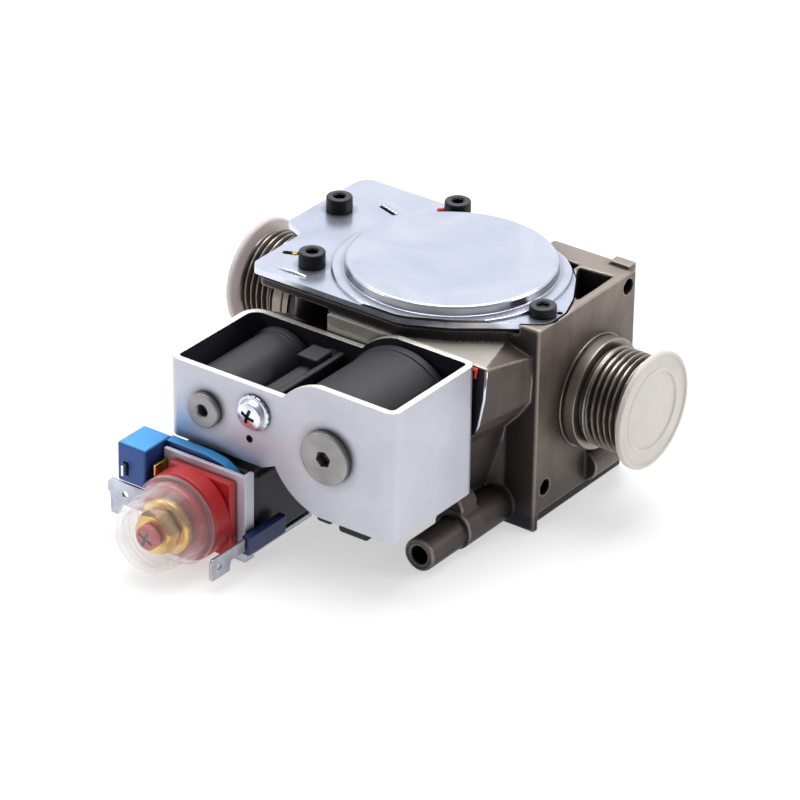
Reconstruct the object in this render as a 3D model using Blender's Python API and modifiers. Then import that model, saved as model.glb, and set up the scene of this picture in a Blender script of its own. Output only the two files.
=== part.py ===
"""Gas valve: die-cast body with two in-line solenoid valves, a diaphragm
regulator under a domed cover, and a modulating pressure regulator in front.

Dimensions are millimetres in the valve's own frame: the gas axis runs along
X through (y 0, z 0), the outlet flange's face is x = 0, the coils point
towards -Y and the cover plate faces +Z.  An empty named gas_valve carries
every piece and moves that frame so that the origin is the middle of the
object's footprint, at the level it stands on.
"""
import math

import bpy
import bmesh
from mathutils import Matrix, Vector

MM = 0.001
GAP = 0.3                      # clearance between pieces that touch
FACETS = 0.72                  # share of the nominal facets round a circle

# overall box, which fixes the origin
X_MIN, X_MAX = -105.2, 19.2    # face to face over the two port plugs
Y_MIN, Y_MAX = -104.1, 20.5
Z_FLOOR = -31.1
ORIGIN = Vector(((X_MIN + X_MAX) / 2, (Y_MIN + Y_MAX) / 2, Z_FLOOR))

# gas ports, G3/4
THREAD_R, THREAD_PITCH, THREAD_DEPTH = 13.22, 1.814, 1.16
PORT_BORE_R = 9.5
PORT_LEN = 17.2
MIRROR_X = -43.0               # the inlet port mirrors the outlet about this plane
PLUG_R = 15.67

# cover plate and regulator
PLATE_Z0, PLATE_Z1 = 24.7, 26.2
DOME_C = (-37.0, -9.5)
DOME_R, DOME_TOP = 27.3, 29.4
COVER_SCREWS = [(-80.0, 0.3, 30.2), (-66.4, -29.3, 30.2), (-54.2, 16.9, 30.2), (-4.9, -15.6, 28.8)]
HEAD_R, SHANK_R = 3.5, 1.9        # three heads stand 4 high, the fourth is a low one

# solenoids: (x, z, coil radius, core disc radius, tube outer radius)
EV1 = (-27.5, 3.7, 17.0, 7.15, 5.9)
EV2 = (-65.2, 4.5, 9.7, 4.75, 3.9)
COIL_Y = (-71.6, -42.6)
BR_X = (-77.3, -7.5)
BR_Y = (-74.0, -39.7)
BR_T = 1.8
BODY_FRONT = -39.3

# modulator
MOD_X, MOD_Z = -62.5, -19.2

scene = bpy.context.scene
for old in list(bpy.data.objects):
    bpy.data.objects.remove(old, do_unlink=True)
for old in list(bpy.data.collections):
    bpy.data.collections.remove(old)
parts = bpy.data.collections.new("gas_valve_parts")
cutters = bpy.data.collections.new("cutters")
scene.collection.children.link(parts)
scene.collection.children.link(cutters)

root = bpy.data.objects.new("gas_valve", None)
root.empty_display_size = 0.02
root.location = -ORIGIN * MM
parts.objects.link(root)


def material(name, rgb, rough, metal, alpha=1.0):
    mat = bpy.data.materials.new(name)
    mat.use_nodes = True
    shader = mat.node_tree.nodes["Principled BSDF"]
    shader.inputs["Base Color"].default_value = (*rgb, 1.0)
    shader.inputs["Roughness"].default_value = rough
    shader.inputs["Metallic"].default_value = metal
    shader.inputs["Alpha"].default_value = alpha
    mat.diffuse_color = (*rgb, alpha)
    return mat


CAST = ("cast_metal", (0.33, 0.30, 0.27), 0.45, 0.9)
ZINC = ("zinc_plate", (0.78, 0.80, 0.86), 0.25, 0.95)
SATIN = ("satin_steel", (0.70, 0.70, 0.74), 0.38, 0.9)
BLACKS = ("black_screw", (0.03, 0.03, 0.035), 0.35, 0.6)
COILM = ("coil_moulding", (0.045, 0.045, 0.05), 0.5, 0.0)
STEEL = ("grey_steel", (0.42, 0.40, 0.39), 0.35, 0.95)
WHITE = ("plug_plastic", (0.72, 0.70, 0.66), 0.45, 0.0)
BRASS = ("brass", (0.72, 0.52, 0.20), 0.25, 1.0)
RED = ("red_plastic", (0.62, 0.06, 0.05), 0.4, 0.0)
BLUE = ("blue_plastic", (0.13, 0.42, 0.76), 0.4, 0.0)
CLEAR = ("clear_plastic", (0.95, 0.95, 0.95), 0.06, 0.0, 0.35)
RUBBER = ("rubber", (0.03, 0.03, 0.03), 0.7, 0.0)
FILTER = ("filter_mesh", (0.55, 0.55, 0.55), 0.45, 0.9)


def link(obj, coll=None):
    (coll or cutters).objects.link(obj)
    if (coll or cutters) is cutters:
        obj.hide_render = True
        obj.display_type = "WIRE"
    return obj


def from_bmesh(name, bm):
    mesh = bpy.data.meshes.new(name)
    bmesh.ops.recalc_face_normals(bm, faces=bm.faces)
    bm.to_mesh(mesh)
    bm.free()
    return link(bpy.data.objects.new(name, mesh))


def bake(obj):
    """Replaces a helper's mesh with its evaluated one and clears its modifiers."""
    graph = bpy.context.evaluated_depsgraph_get()
    graph.update()
    mesh = bpy.data.meshes.new_from_object(obj.evaluated_get(graph))
    old = obj.data
    obj.modifiers.clear()
    obj.data = mesh
    bpy.data.meshes.remove(old)
    return obj


AXES = {
    "z": Matrix(((1, 0, 0), (0, 1, 0), (0, 0, 1))),
    "y": Matrix(((1, 0, 0), (0, 0, 1), (0, 1, 0))),   # outline x,z, depth along y
    "x": Matrix(((0, 0, 1), (1, 0, 0), (0, 1, 0))),   # outline y,z, depth along x
}


def turn_to(obj, axis, origin=(0, 0, 0)):
    turn = AXES[axis].to_4x4()
    obj.data.transform(Matrix.Translation(Vector(origin) * MM) @ turn)
    if turn.determinant() < 0:
        obj.data.flip_normals()
    return obj


def box(x0, x1, y0, y1, z0, z1, bevel=0.0, seg=2, name="box"):
    bm = bmesh.new()
    size = Vector((x1 - x0, y1 - y0, z1 - z0)) * MM
    mid = Vector((x1 + x0, y1 + y0, z1 + z0)) * MM / 2
    bmesh.ops.create_cube(bm, size=1.0, matrix=Matrix.Translation(mid) @ Matrix.Diagonal((*size, 1)))
    obj = from_bmesh(name, bm)
    if bevel:
        mod = obj.modifiers.new("edges", "BEVEL")
        mod.width = bevel * MM
        mod.segments = seg
        mod.limit_method = "NONE"
        bake(obj)
    return obj


def sides(seg):
    """Facets round a circle, thinned from the nominal number."""
    return max(10, 2 * round(seg * FACETS / 2))


def cyl(axis, a, b, s0, s1, r, seg=24, r2=None, name="cyl"):
    """Cylinder or cone along an axis from s0 to s1 at (a, b) in the other two coordinates."""
    seg = sides(seg)
    bm = bmesh.new()
    bmesh.ops.create_cone(bm, cap_ends=True, segments=seg, radius1=r * MM,
                          radius2=(r if r2 is None else r2) * MM, depth=(s1 - s0) * MM,
                          matrix=Matrix.Translation((a * MM, b * MM, (s0 + s1) / 2 * MM)))
    return turn_to(from_bmesh(name, bm), axis)


def turned(axis, a, b, profile, seg=32, name="turned", mirror=None):
    """Screw modifier round an axis. profile holds (radius, position along the axis);
    it runs down its outer side from the highest position to the lowest."""
    seg = sides(seg)
    mesh = bpy.data.meshes.new(name)
    pts = [(r * MM, 0.0, s * MM) for r, s in profile]
    edges = [(i, i + 1) for i in range(len(pts) - 1)]
    if profile[0][0] > 1e-9 or profile[-1][0] > 1e-9:
        edges.append((len(pts) - 1, 0))
    mesh.from_pydata(pts, edges, [])
    obj = link(bpy.data.objects.new(name, mesh))
    mod = obj.modifiers.new("turn", "SCREW")
    mod.axis = "Z"
    mod.angle = 2 * math.pi
    mod.steps = mod.render_steps = seg
    mod.use_merge_vertices = True
    mod.merge_threshold = 0.000002
    mod.use_normal_calculate = True
    bake(obj)
    bm = bmesh.new()
    bm.from_mesh(obj.data)
    bmesh.ops.remove_doubles(bm, verts=bm.verts, dist=0.000002)
    bmesh.ops.recalc_face_normals(bm, faces=bm.faces)
    bm.to_mesh(obj.data)
    bm.free()
    obj.data.transform(Matrix.Translation((a * MM, b * MM, 0)))
    turn_to(obj, axis)
    if mirror is not None:
        obj.data.transform(Matrix.Translation((2 * mirror * MM, 0, 0)) @ Matrix.Diagonal((-1, 1, 1, 1)))
        obj.data.flip_normals()
    return obj


def prism(axis, outlines, s0, s1, name="prism"):
    """Filled flat outline(s) with depth from s0 to s1; inner outlines are holes."""
    curve = bpy.data.curves.new(name, "CURVE")
    curve.dimensions = "2D"
    curve.fill_mode = "BOTH"
    curve.extrude = (s1 - s0) / 2 * MM
    for pts in outlines:
        spline = curve.splines.new("POLY")
        spline.points.add(len(pts) - 1)
        for point, (u, v) in zip(spline.points, pts):
            point.co = (u * MM, v * MM, 0, 1)
        spline.use_cyclic_u = True
    temp = link(bpy.data.objects.new(name + "_outline", curve))
    graph = bpy.context.evaluated_depsgraph_get()
    graph.update()
    mesh = bpy.data.meshes.new_from_object(temp.evaluated_get(graph))
    bm = bmesh.new()
    bm.from_mesh(mesh)
    bmesh.ops.remove_doubles(bm, verts=bm.verts, dist=0.000002)
    bmesh.ops.recalc_face_normals(bm, faces=bm.faces)
    bm.to_mesh(mesh)
    bm.free()
    bpy.data.objects.remove(temp, do_unlink=True)
    mesh.transform(Matrix.Translation((0, 0, (s0 + s1) / 2 * MM)))
    obj = link(bpy.data.objects.new(name, mesh))
    return turn_to(obj, axis)


def tube(points, radius, name="wire", rings=0):
    curve = bpy.data.curves.new(name, "CURVE")
    curve.dimensions = "3D"
    curve.bevel_depth = radius * MM
    curve.bevel_resolution = rings
    curve.use_fill_caps = True
    spline = curve.splines.new("POLY")
    spline.points.add(len(points) - 1)
    for point, p in zip(spline.points, points):
        point.co = (p[0] * MM, p[1] * MM, p[2] * MM, 1)
    temp = link(bpy.data.objects.new(name + "_path", curve))
    graph = bpy.context.evaluated_depsgraph_get()
    graph.update()
    mesh = bpy.data.meshes.new_from_object(temp.evaluated_get(graph))
    bm = bmesh.new()
    bm.from_mesh(mesh)
    bmesh.ops.remove_doubles(bm, verts=bm.verts, dist=0.000002)
    bmesh.ops.recalc_face_normals(bm, faces=bm.faces)
    bm.to_mesh(mesh)
    bm.free()
    bpy.data.objects.remove(temp, do_unlink=True)
    return link(bpy.data.objects.new(name, mesh))


def op(obj, others, kind):
    for other in others if isinstance(others, (list, tuple)) else [others]:
        mod = obj.modifiers.new("cut", "BOOLEAN")
        mod.operation = kind
        mod.solver = "EXACT"
        mod.object = other
        bake(obj)
        bpy.data.objects.remove(other, do_unlink=True)
    return obj


def join(obj, *others):
    return op(obj, list(others), "UNION")


def cut(obj, *others):
    return op(obj, list(others), "DIFFERENCE")


def node(name, obj, mat, origin=(0, 0, 0), parent=None, smooth=30):
    """Turns a helper into a named piece of the valve, with its origin where asked."""
    cutters.objects.unlink(obj)
    parts.objects.link(obj)
    obj.hide_render = False
    obj.display_type = "TEXTURED"
    obj.name = name
    obj.data.name = name
    bm = bmesh.new()
    bm.from_mesh(obj.data)
    bmesh.ops.remove_doubles(bm, verts=bm.verts, dist=0.000003)
    bmesh.ops.dissolve_degenerate(bm, edges=bm.edges, dist=0.000003)
    bmesh.ops.dissolve_limit(bm, angle_limit=math.radians(0.2), verts=bm.verts, edges=bm.edges)
    bm.to_mesh(obj.data)
    bm.free()
    obj.data.transform(Matrix.Translation(-Vector(origin) * MM))
    obj.location = Vector(origin) * MM
    obj.parent = root
    obj.data.materials.clear()
    obj.data.materials.append(bpy.data.materials.get(mat[0]) or material(*mat))
    obj.data.shade_smooth()
    obj.data.set_sharp_from_angle(angle=math.radians(smooth))
    return obj


def arc(cx, cy, r, a0, a1, n):
    """Points on an arc, angles in degrees."""
    return [(cx + r * math.cos(math.radians(a0 + (a1 - a0) * i / n)),
             cy + r * math.sin(math.radians(a0 + (a1 - a0) * i / n))) for i in range(n + 1)]


def circle(cx, cy, r, n=24):
    return arc(cx, cy, r, 0, 360 - 360 / n, n - 1)


def rounded(points, radii, n=3):
    """Polygon with a rounded corner at each point; radius 0 keeps it sharp."""
    out = []
    count = len(points)
    for i, (x, y) in enumerate(points):
        r = radii[i] if isinstance(radii, (list, tuple)) else radii
        if r <= 0:
            out.append((x, y))
            continue
        p = Vector((x, y))
        a = (Vector(points[i - 1]) - p)
        b = (Vector(points[(i + 1) % count]) - p)
        angle = a.angle(b)
        reach = min(r / math.tan(angle / 2), 0.45 * a.length, 0.45 * b.length)
        r = reach * math.tan(angle / 2)
        centre = p + (a.normalized() + b.normalized()).normalized() * (r / math.sin(angle / 2))
        start = p + a.normalized() * reach - centre
        end = p + b.normalized() * reach - centre
        sweep = start.angle_signed(end)
        for k in range(n + 1):
            v = start.copy()
            v.rotate(Matrix.Rotation(-sweep * k / n, 2))
            out.append((centre.x + v.x, centre.y + v.y))
    return out


def hexagon(cx, cy, flats, turn=0.0):
    r = flats / math.sqrt(3)
    return [(cx + r * math.cos(math.radians(60 * k + turn)), cy + r * math.sin(math.radians(60 * k + turn)))
            for k in range(6)]


# ---------------------------------------------------------------- valve body
def plate_outline(inset=0.0, n=3):
    pts = [(-76.9, -39.6), (-31.5, -39.6), (-20.1, -33.6), (-12.5, -27.8), (-0.6, -19.4), (-0.8, -11.6),
           (-3.5, -4.4), (-9.4, 5.6), (-16.6, 12.2), (-27.1, 17.0), (-42.9, 19.6), (-84.6, 19.8),
           (-86.4, 16.8), (-86.4, -13.6), (-79.2, -16.8), (-79.0, -36.6)]
    rad = [2, 14, 20, 6, 4.5, 4, 10, 10, 10, 12, 8, 3, 3, 2, 2, 3]
    cx, cy = -43.0, -9.0
    half = 43.4
    k = 1 - inset / half
    ky = 1 - inset / 29.7
    return rounded([(cx + (x - cx) * k, cy + (y - cy) * ky) for x, y in pts], rad, n)


def port_profile():
    """Outer side of a port from its open end back to the flange: raised ring,
    collar, relief groove and the thread at its major diameter."""
    prof = [(0.0, PORT_LEN), (THREAD_R - THREAD_DEPTH, PORT_LEN)]
    prof += [(THREAD_R, PORT_LEN - 1.0), (THREAD_R, 6.5)]
    prof += [(12.0, 6.5), (12.0, 4.5), (14.6, 4.5), (14.6, 1.5), (13.4, 1.5), (13.4, 1.0), (15.2, 1.0), (15.2, -3.0), (0.0, -3.0)]
    return prof


# casting below the cover plate
body = prism("z", [plate_outline(1.3, 2)], -22.0, 23.4, "body")
# solenoid block in front of it, with its rounded right shoulder and tapering flank
flank = [(-54.0, 20.4), (-54.0, -4.0), (-60.0, -10.0), (-60.0, -26.0), (-13.2, -26.0), (-12.3, -18.1), (-9.9, -10.4),
         (-9.3, -3.3), (-5.0, 1.6), (-2.4, 6.6), (-2.2, 17.0), (-9.4, 20.4)]
cut(body, prism("z", [[(-95.0, -60.0), (-60.0, -60.0), (-60.0, -24.0), (-63.6, -14.5), (-63.6, -4.0), (-95.0, -4.0)]], -23.0, 21.2))
join(body, prism("y", [flank], BODY_FRONT, -12.0))
cut(body, prism("z", [[(-1.5, -24.3), (6.0, -24.3), (6.0, -46.0), (-6.2, -46.0)]], -40.0, 30.0))
join(body, prism("x", [[(BODY_FRONT, -21.0), (BODY_FRONT, 13.0), (-36.0, 13.0), (-24.0, 7.0), (-14.0, 2.0), (-10.0, 2.0), (-10.0, -21.0)]], -76.0, -50.0))
join(body, cyl("z", COVER_SCREWS[1][0], COVER_SCREWS[1][1], 2.0, 23.4, 4.2, 20))
# outlet flange with its foot
join(body, box(-13.0, 0.0, -24.1, 19.0, Z_FLOOR, 26.2))
join(body, box(-26.0, -2.0, 12.4, Y_MAX - 0.3, -24.0, 26.2))
join(body, box(-7.0, -1.0, 17.0, Y_MAX, 18.0, 27.4))
# regulator housing below the left coil, which carries the modulator
join(body, box(-76.0, -50.0, -50.6, -30.0, -30.2, -8.0))
# rear left foot and bottom web
join(body, box(-82.0, -68.0, 6.0, 17.5, Z_FLOOR, -20.0))
join(body, box(-70.0, -12.0, -20.0, 12.0, -26.5, -20.0))
# inlet neck and both ports
join(body, cyl("x", 0.0, 0.0, -89.0, -60.0, 14.2, 32))
join(body, turned("x", 0.0, 0.0, port_profile(), 24))
join(body, turned("x", 0.0, 0.0, port_profile(), 24, mirror=MIRROR_X))
# boss round the rear cover screw
join(body, cyl("z", COVER_SCREWS[2][0], 16.0, 2.0, 23.4, 4.0, 20))
# pressure test nipple, its root and the short boss above it
join(body, cyl("y", -11.7, -26.4, -57.2, -22.0, 4.4, 20))
join(body, cyl("y", -11.7, -25.6, -43.0, -22.0, 5.5, 20))
join(body, cyl("y", -13.6, -20.4, -42.6, -36.0, 4.6, 20))
# half round boss below the outlet port
join(body, cyl("y", -0.6, -21.4, 0.5, 15.0, 4.2, 20))

# open pocket behind the flange's thin top wall
cut(body, prism("z", [[(-2.4, -4.2), (-2.6, 12.2), (-12.4, 11.2), (-9.6, 5.0), (-6.0, -1.0)]], 9.0, 30.0))
# step along the foot of the flange face
cut(body, box(-2.4, 2.0, -22.0, 30.0, -40.0, -26.4))
# flange fixing holes
cut(body, cyl("x", 15.6, 22.6, -6.5, 3.0, 2.1, 16))
cut(body, cyl("x", -19.4, -19.9, -9.0, 3.0, 2.1, 16))
# cover screw holes
for sx, sy, top in COVER_SCREWS:
    cut(body, cyl("z", sx, sy, 8.0, 40.0, 2.25, 12))
# gas way: inlet and outlet bores
cut(body, cyl("x", 0.0, 0.0, -12.0, 30.0, PORT_BORE_R, 32))
cut(body, cyl("x", 0.0, 0.0, -120.0, -62.0, PORT_BORE_R, 32))
# seat for the gasket and the cover plate
cut(body, prism("z", [plate_outline(-0.35, 2)], 23.4, 40.0))
# regulator: diaphragm chamber, outlet chamber, seat, and the chamber below
cut(body, cyl("z", *DOME_C, 17.0, 40.0, 25.0, 32))
cut(body, cyl("z", *DOME_C, 4.0, 20.0, 13.5, 32))
cut(body, box(-26.0, -9.0, -8.0, 6.0, 3.4, 9.0))
cut(body, cyl("z", *DOME_C, -2.0, 6.0, 7.5, 24))
cut(body, cyl("z", *DOME_C, -18.0, 0.0, 12.5, 32))
# first valve: chamber, seat, way down to the regulator
cut(body, cyl("y", EV1[0], EV1[1], -60.0, -30.0, 10.8, 32))
cut(body, cyl("y", EV1[0], EV1[1], -31.0, -24.0, 5.5, 24))
cut(body, box(-32.5, -22.5, -26.0, -16.0, -12.0, 2.6))
# second valve: chamber, seat and servo drilling
cut(body, cyl("y", EV2[0], EV2[1], -60.0, -32.0, 7.3, 24))
cut(body, cyl("y", EV2[0], EV2[1], -33.0, -26.0, 2.4, 16))
cut(body, cyl("z", EV2[0], -27.8, -20.0, 5.0, 2.0, 12))
cut(body, cyl("y", MOD_X, MOD_Z, -60.0, -25.5, 4.2, 20))
# way from the inlet filter to both valve chambers
cut(body, box(-72.0, -30.0, -37.0, -33.2, -6.0, 0.0))
cut(body, box(-62.0, -55.0, -37.0, 5.0, -6.0, 0.0))
# bracket post hole, nipple bore
cut(body, cyl("y", -50.0, 8.5, -50.0, -26.0, 2.35, 12))
cut(body, cyl("y", -11.7, -26.4, -60.0, -40.0, 2.4, 16))
node("valve_body", body, CAST)

# --------------------------------------------------------------- cover plate
plate = prism("z", [plate_outline(0.0, 3)], PLATE_Z0, PLATE_Z1, "cover_plate")
dome = turned("z", *DOME_C, [(0.0, DOME_TOP), (DOME_R - 2.0, DOME_TOP), (DOME_R - 0.6, DOME_TOP - 0.5),
                             (DOME_R, DOME_TOP - 1.6), (DOME_R + 0.1, PLATE_Z1 + 0.3), (DOME_R + 0.4, PLATE_Z1),
                             (DOME_R + 0.4, PLATE_Z0 + 0.5), (0.0, PLATE_Z0 + 0.5)], 36)
join(plate, dome)
cut(plate, turned("z", *DOME_C, [(0.0, DOME_TOP - 1.2), (DOME_R - 2.6, DOME_TOP - 1.2), (DOME_R - 1.4, DOME_TOP - 2.2),
                                 (DOME_R - 1.3, 20.0), (0.0, 20.0)], 36))
for sx, sy, top in COVER_SCREWS:
    cut(plate, cyl("z", sx, sy, 20.0, 27.8, 2.25, 16))
cut(plate, cyl("z", -74.7, -26.0, 20.0, 30.0, 1.5, 12))
cut(plate, cyl("z", -1.7, -12.8, 20.0, 30.0, 0.8, 10))
node("cover_plate", plate, ZINC)

gasket = prism("z", [plate_outline(1.0, 2), circle(*DOME_C, 25.3, 32)], 23.7, 24.4, "gasket")
for sx, sy, top in COVER_SCREWS:
    cut(gasket, cyl("z", sx, sy, 20.0, 30.0, 2.4, 12))
node("cover_gasket", gasket, RUBBER)


def cap_screw(name, x, y, seat, top, depth):
    """Socket head cap screw standing along Z, its head from seat to top."""
    head = turned("z", x, y, [(0.0, top), (HEAD_R - 0.4, top), (HEAD_R, top - 0.4), (HEAD_R, seat),
                              (SHANK_R, seat), (SHANK_R, depth), (0.0, depth)], 16)
    cut(head, prism("z", [hexagon(x, y, 3.0)], seat + 1.0, top + 2.0))
    node(name, head, BLACKS, origin=(x, y, seat))


for i, (sx, sy, top) in enumerate(COVER_SCREWS):
    cap_screw("cover_screw_%d" % (i + 1), sx, sy, PLATE_Z1 + GAP, top, 11.0)

# ------------------------------------------------------- regulator internals
rx, ry = DOME_C
node("diaphragm", turned("z", rx, ry, [(24.4, 23.9), (24.4, 23.3), (23.6, 23.1), (22.6, 21.0), (20.6, 21.0), (19.6, 23.1),
                                      (18.4, 23.1), (18.4, 23.9), (20.2, 23.9), (21.1, 21.8), (22.1, 21.8), (23.1, 23.9)], 24),
     RUBBER, origin=(rx, ry, 23.5))
node("diaphragm_plate", turned("z", rx, ry, [(0.0, 23.6), (5.0, 23.6), (17.4, 23.6), (18.0, 23.2), (18.0, 22.6), (5.0, 22.6),
                                            (4.0, 22.0), (4.0, 20.6), (0.0, 20.6)], 24), ZINC, origin=(rx, ry, 23.0))
node("regulator_stem", turned("z", rx, ry, [(0.0, 20.3), (2.0, 20.3), (2.0, 8.6), (5.0, 8.2), (5.0, 7.6), (0.0, 7.6)], 20),
     STEEL, origin=(rx, ry, 14.0))
node("main_valve_disc", turned("z", rx, ry, [(0.0, 7.3), (9.6, 7.3), (9.9, 7.0), (9.9, 5.0), (9.2, 4.4), (0.0, 4.4)], 28),
     RUBBER, origin=(rx, ry, 6.0))


def helix(axis, a, b, s0, s1, r, wire, turns, per=14, r1=None):
    """Coil spring with its axis along y or z, as points for a tube."""
    pts = []
    total = int(turns * per)
    for i in range(total + 1):
        t = i / total
        ang = 2 * math.pi * turns * t
        rr = r if r1 is None else r + (r1 - r) * t
        u, v, s = a + rr * math.cos(ang), b + rr * math.sin(ang), s0 + (s1 - s0) * t
        pts.append((u, v, s) if axis == "z" else (u, s, v))
    return tube(pts, wire)


node("regulator_spring", helix("z", rx, ry, 24.5, 27.5, 9.0, 0.45, 1.75, 12, 6.0), STEEL, origin=(rx, ry, 24.0))

# --------------------------------------------------------------- coil bracket
x0, x1 = BR_X
y0, y1 = BR_Y
t = BR_T


def front_outline():
    """Front and back plates: a shallow left part and a deep right part with a
    round left side about the big coil's axis."""
    pts = [(x0, 15.5), (x0, -6.3), (-47.7, -6.4)]
    pts += arc(EV1[0], EV1[1], 18.3, 207, 262, 7)
    pts += [(x1, -14.3), (x1, 21.6)]
    pts += arc(EV1[0], EV1[1], 18.3, 100, 139.5, 5)
    return pts


sheet_plan = rounded([(x0, y0), (x1, y0), (x1, y1), (x0, y1)], [3.0, 3.0, 3.0, 5.0], 4)
inner_plan = rounded([(x0 + t, y0 + t), (x1 - t, y0 + t), (x1 - t, y1 - t), (x0 + t, y1 - t)], [1.2, 1.2, 1.2, 3.2], 4)
bracket = prism("z", [sheet_plan, inner_plan], -14.3, 21.7, "bracket")
keep = prism("y", [front_outline()], y0 - 5.0, y1 + 5.0)
op(bracket, keep, "INTERSECT")
for ev in (EV1, EV2):
    cut(bracket, cyl("y", ev[0], ev[1], y0 - 4.0, y0 + 6.0, ev[4] - 1.4, 20))
    cut(bracket, cyl("y", ev[0], ev[1], y1 - 6.0, y1 + 4.0, ev[4] + 0.4, 24))
cut(bracket, cyl("y", -50.0, 8.5, y0 - 4.0, y1 + 4.0, 2.3, 16))
cut(bracket, cyl("y", -51.7, 0.4, y0 - 4.0, y0 + 6.0, 1.0, 12))
node("coil_bracket", bracket, SATIN)


def solenoid(tag, ev, stroke):
    """One solenoid valve along Y: moulded coil, guide tube, fixed core with its
    socket-head disc, sliding plunger, valve disc and closing spring."""
    x, z, rc, rd, rt = ev
    chamber = 10.8 if tag == "ev1" else 7.3
    seat_y = -30.0 if tag == "ev1" else -32.0
    ri = rt - 0.6
    coil = turned("y", x, z, [(rc - 1.0, COIL_Y[1]), (rc, COIL_Y[1] - 1.0), (rc, COIL_Y[0] + 1.0), (rc - 1.0, COIL_Y[0]),
                              (rt + 0.35, COIL_Y[0]), (rt + 0.35, COIL_Y[1])], 28)
    if tag == "ev1":
        join(coil, box(-28.0, -19.0, -69.0, -58.0, -20.0, -10.0, 0.8, 1))
        join(coil, box(-33.0, -28.4, -71.4, -66.0, -17.5, -9.0, 0.8, 1))
        cut(coil, cyl("y", x, z, -80.0, -30.0, rt + 0.35, 28))
    node(tag + "_coil", coil, COILM)
    tube_ = turned("y", x, z, [(chamber - 0.3, -37.2), (chamber - 0.3, -38.4), (rt, -38.4), (rt, -69.5), (ri, -69.5), (ri, -37.2)], 20)
    node(tag + "_guide_tube", tube_, BRASS)
    core_r = rt - 1.9
    core = turned("y", x, z, [(0.0, -61.5), (ri - 0.35, -61.5), (ri - 0.35, -71.8), (core_r, -71.8), (core_r, -74.3),
                              (rd, -74.3), (rd, -75.4), (rd - 0.5, -75.9), (0.0, -75.9)], 24)
    cut(core, prism("y", [hexagon(x, z, 4.0 if tag == "ev1" else 3.0)], -80.0, -73.4))
    node(tag + "_core_screw", core, STEEL)
    rp = ri - 0.08
    front = seat_y - 3.2
    plunger = turned("y", x, z, [(0.0, front), (rp * 0.55, front), (rp * 0.55, -37.0), (rp, -37.6), (rp, -58.0), (rp - 0.4, -58.4), (0.0, -58.4)], 20)
    node(tag + "_plunger", plunger, STEEL, origin=(x, -48.0, z))
    rv = 8.0 if tag == "ev1" else 4.6
    disc = turned("y", x, z, [(0.0, seat_y - 0.35), (rv - 0.4, seat_y - 0.35), (rv, seat_y - 0.8), (rv, seat_y - 2.4),
                              (rv - 0.4, seat_y - 2.8), (0.0, seat_y - 2.8)], 20)
    node(tag + "_valve_disc", disc, RUBBER, origin=(x, seat_y - 1.0, z))
    s1 = seat_y - 3.4
    node(tag + "_spring", helix("y", x, z, -36.6, s1, rp + 1.0, 0.35, 1.75 if tag == "ev1" else 1.25, 10), STEEL, origin=(x, s1, z))


solenoid("ev1", EV1, 2.4)
solenoid("ev2", EV2, 2.0)

# spacer post between the coils and the cross-head screw through it
post = turned("y", -50.0, 8.5, [(4.4, -41.9), (4.4, -71.8), (2.4, -71.8), (2.4, -41.9)], 24)
join(post, box(-53.2, -47.0, -53.0, -46.0, 11.0, 15.0, 0.5, 1))
node("coil_spacer", post, COILM)
pan = turned("y", -50.0, 8.5, [(0.0, -28.0), (1.5, -28.0), (2.0, -31.5), (2.0, -74.3), (4.85, -74.3), (4.6, -76.0), (3.4, -77.1), (0.0, -77.5)], 24)
pan_slot = [box(-50.0 - 2.2, -50.0 + 2.2, -79.0, -76.2, 8.5 - 0.45, 8.5 + 0.45), box(-50.0 - 0.45, -50.0 + 0.45, -79.0, -76.2, 8.5 - 2.2, 8.5 + 2.2)]
cut(pan, *pan_slot)
node("bracket_screw", pan, ZINC)

# --------------------------------------------------------------- inlet filter
flt = turned("x", 0.0, 0.0, [(8.9, -66.0), (8.9, -66.8), (8.4, -66.8), (8.4, -84.0), (9.1, -84.0), (9.1, -85.0), (7.8, -85.0), (7.8, -66.0)], 20)
node("inlet_filter", flt, FILTER)

# ---------------------------------------------------------------- port plugs


def plug_profile():
    return [(0.0, X_MAX - 0.7), (10.2, X_MAX - 0.7), (10.6, X_MAX - 0.3), (14.4, X_MAX - 0.3), (14.7, X_MAX), (PLUG_R - 0.3, X_MAX),
            (PLUG_R, X_MAX - 0.4), (PLUG_R, 17.9), (PLUG_R - 0.3, 17.5), (9.15, 17.5), (9.05, 7.4), (8.7, 6.8), (7.9, 6.8),
            (7.7, 16.8), (0.0, 16.8)]


plug = turned("x", 0.0, 0.0, plug_profile(), 28)
node("outlet_plug", plug, WHITE, origin=(18.0, 0, 0))
plug = turned("x", 0.0, 0.0, plug_profile(), 28, mirror=MIRROR_X)
node("inlet_plug", plug, WHITE, origin=(-104.0, 0, 0))

# ------------------------------------------------- sealing screw in the nipple
seal = turned("y", -11.7, -26.4, [(0.0, -46.0), (1.6, -46.2), (2.05, -47.0), (2.05, -52.5), (0.0, -52.5)], 20)
cut(seal, box(-14.5, -8.5, -54.0, -51.6, -26.8, -26.0))
node("test_nipple_screw", seal, STEEL, origin=(-11.7, -50.0, -26.4))

# ------------------------------------------------------------------ modulator
mx, mz = MOD_X, MOD_Z
frame = box(-74.0, -48.4, -80.0, -78.8, Z_FLOOR, -6.9, 0.0)
join(frame, box(-49.6, -48.4, -79.4, -76.4, Z_FLOOR, -6.9))
join(frame, box(-73.6, -49.4, -79.4, -51.2, Z_FLOOR, Z_FLOOR + 1.2))
join(frame, box(-73.6, -49.4, -52.4, -51.2, Z_FLOOR, -9.4))
cut(frame, cyl("y", mx, mz, -90.0, -78.0, 5.2, 24))
cut(frame, cyl("y", mx, mz, -55.0, -50.0, 4.6, 24))
node("modulator_frame", frame, ZINC)

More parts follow.
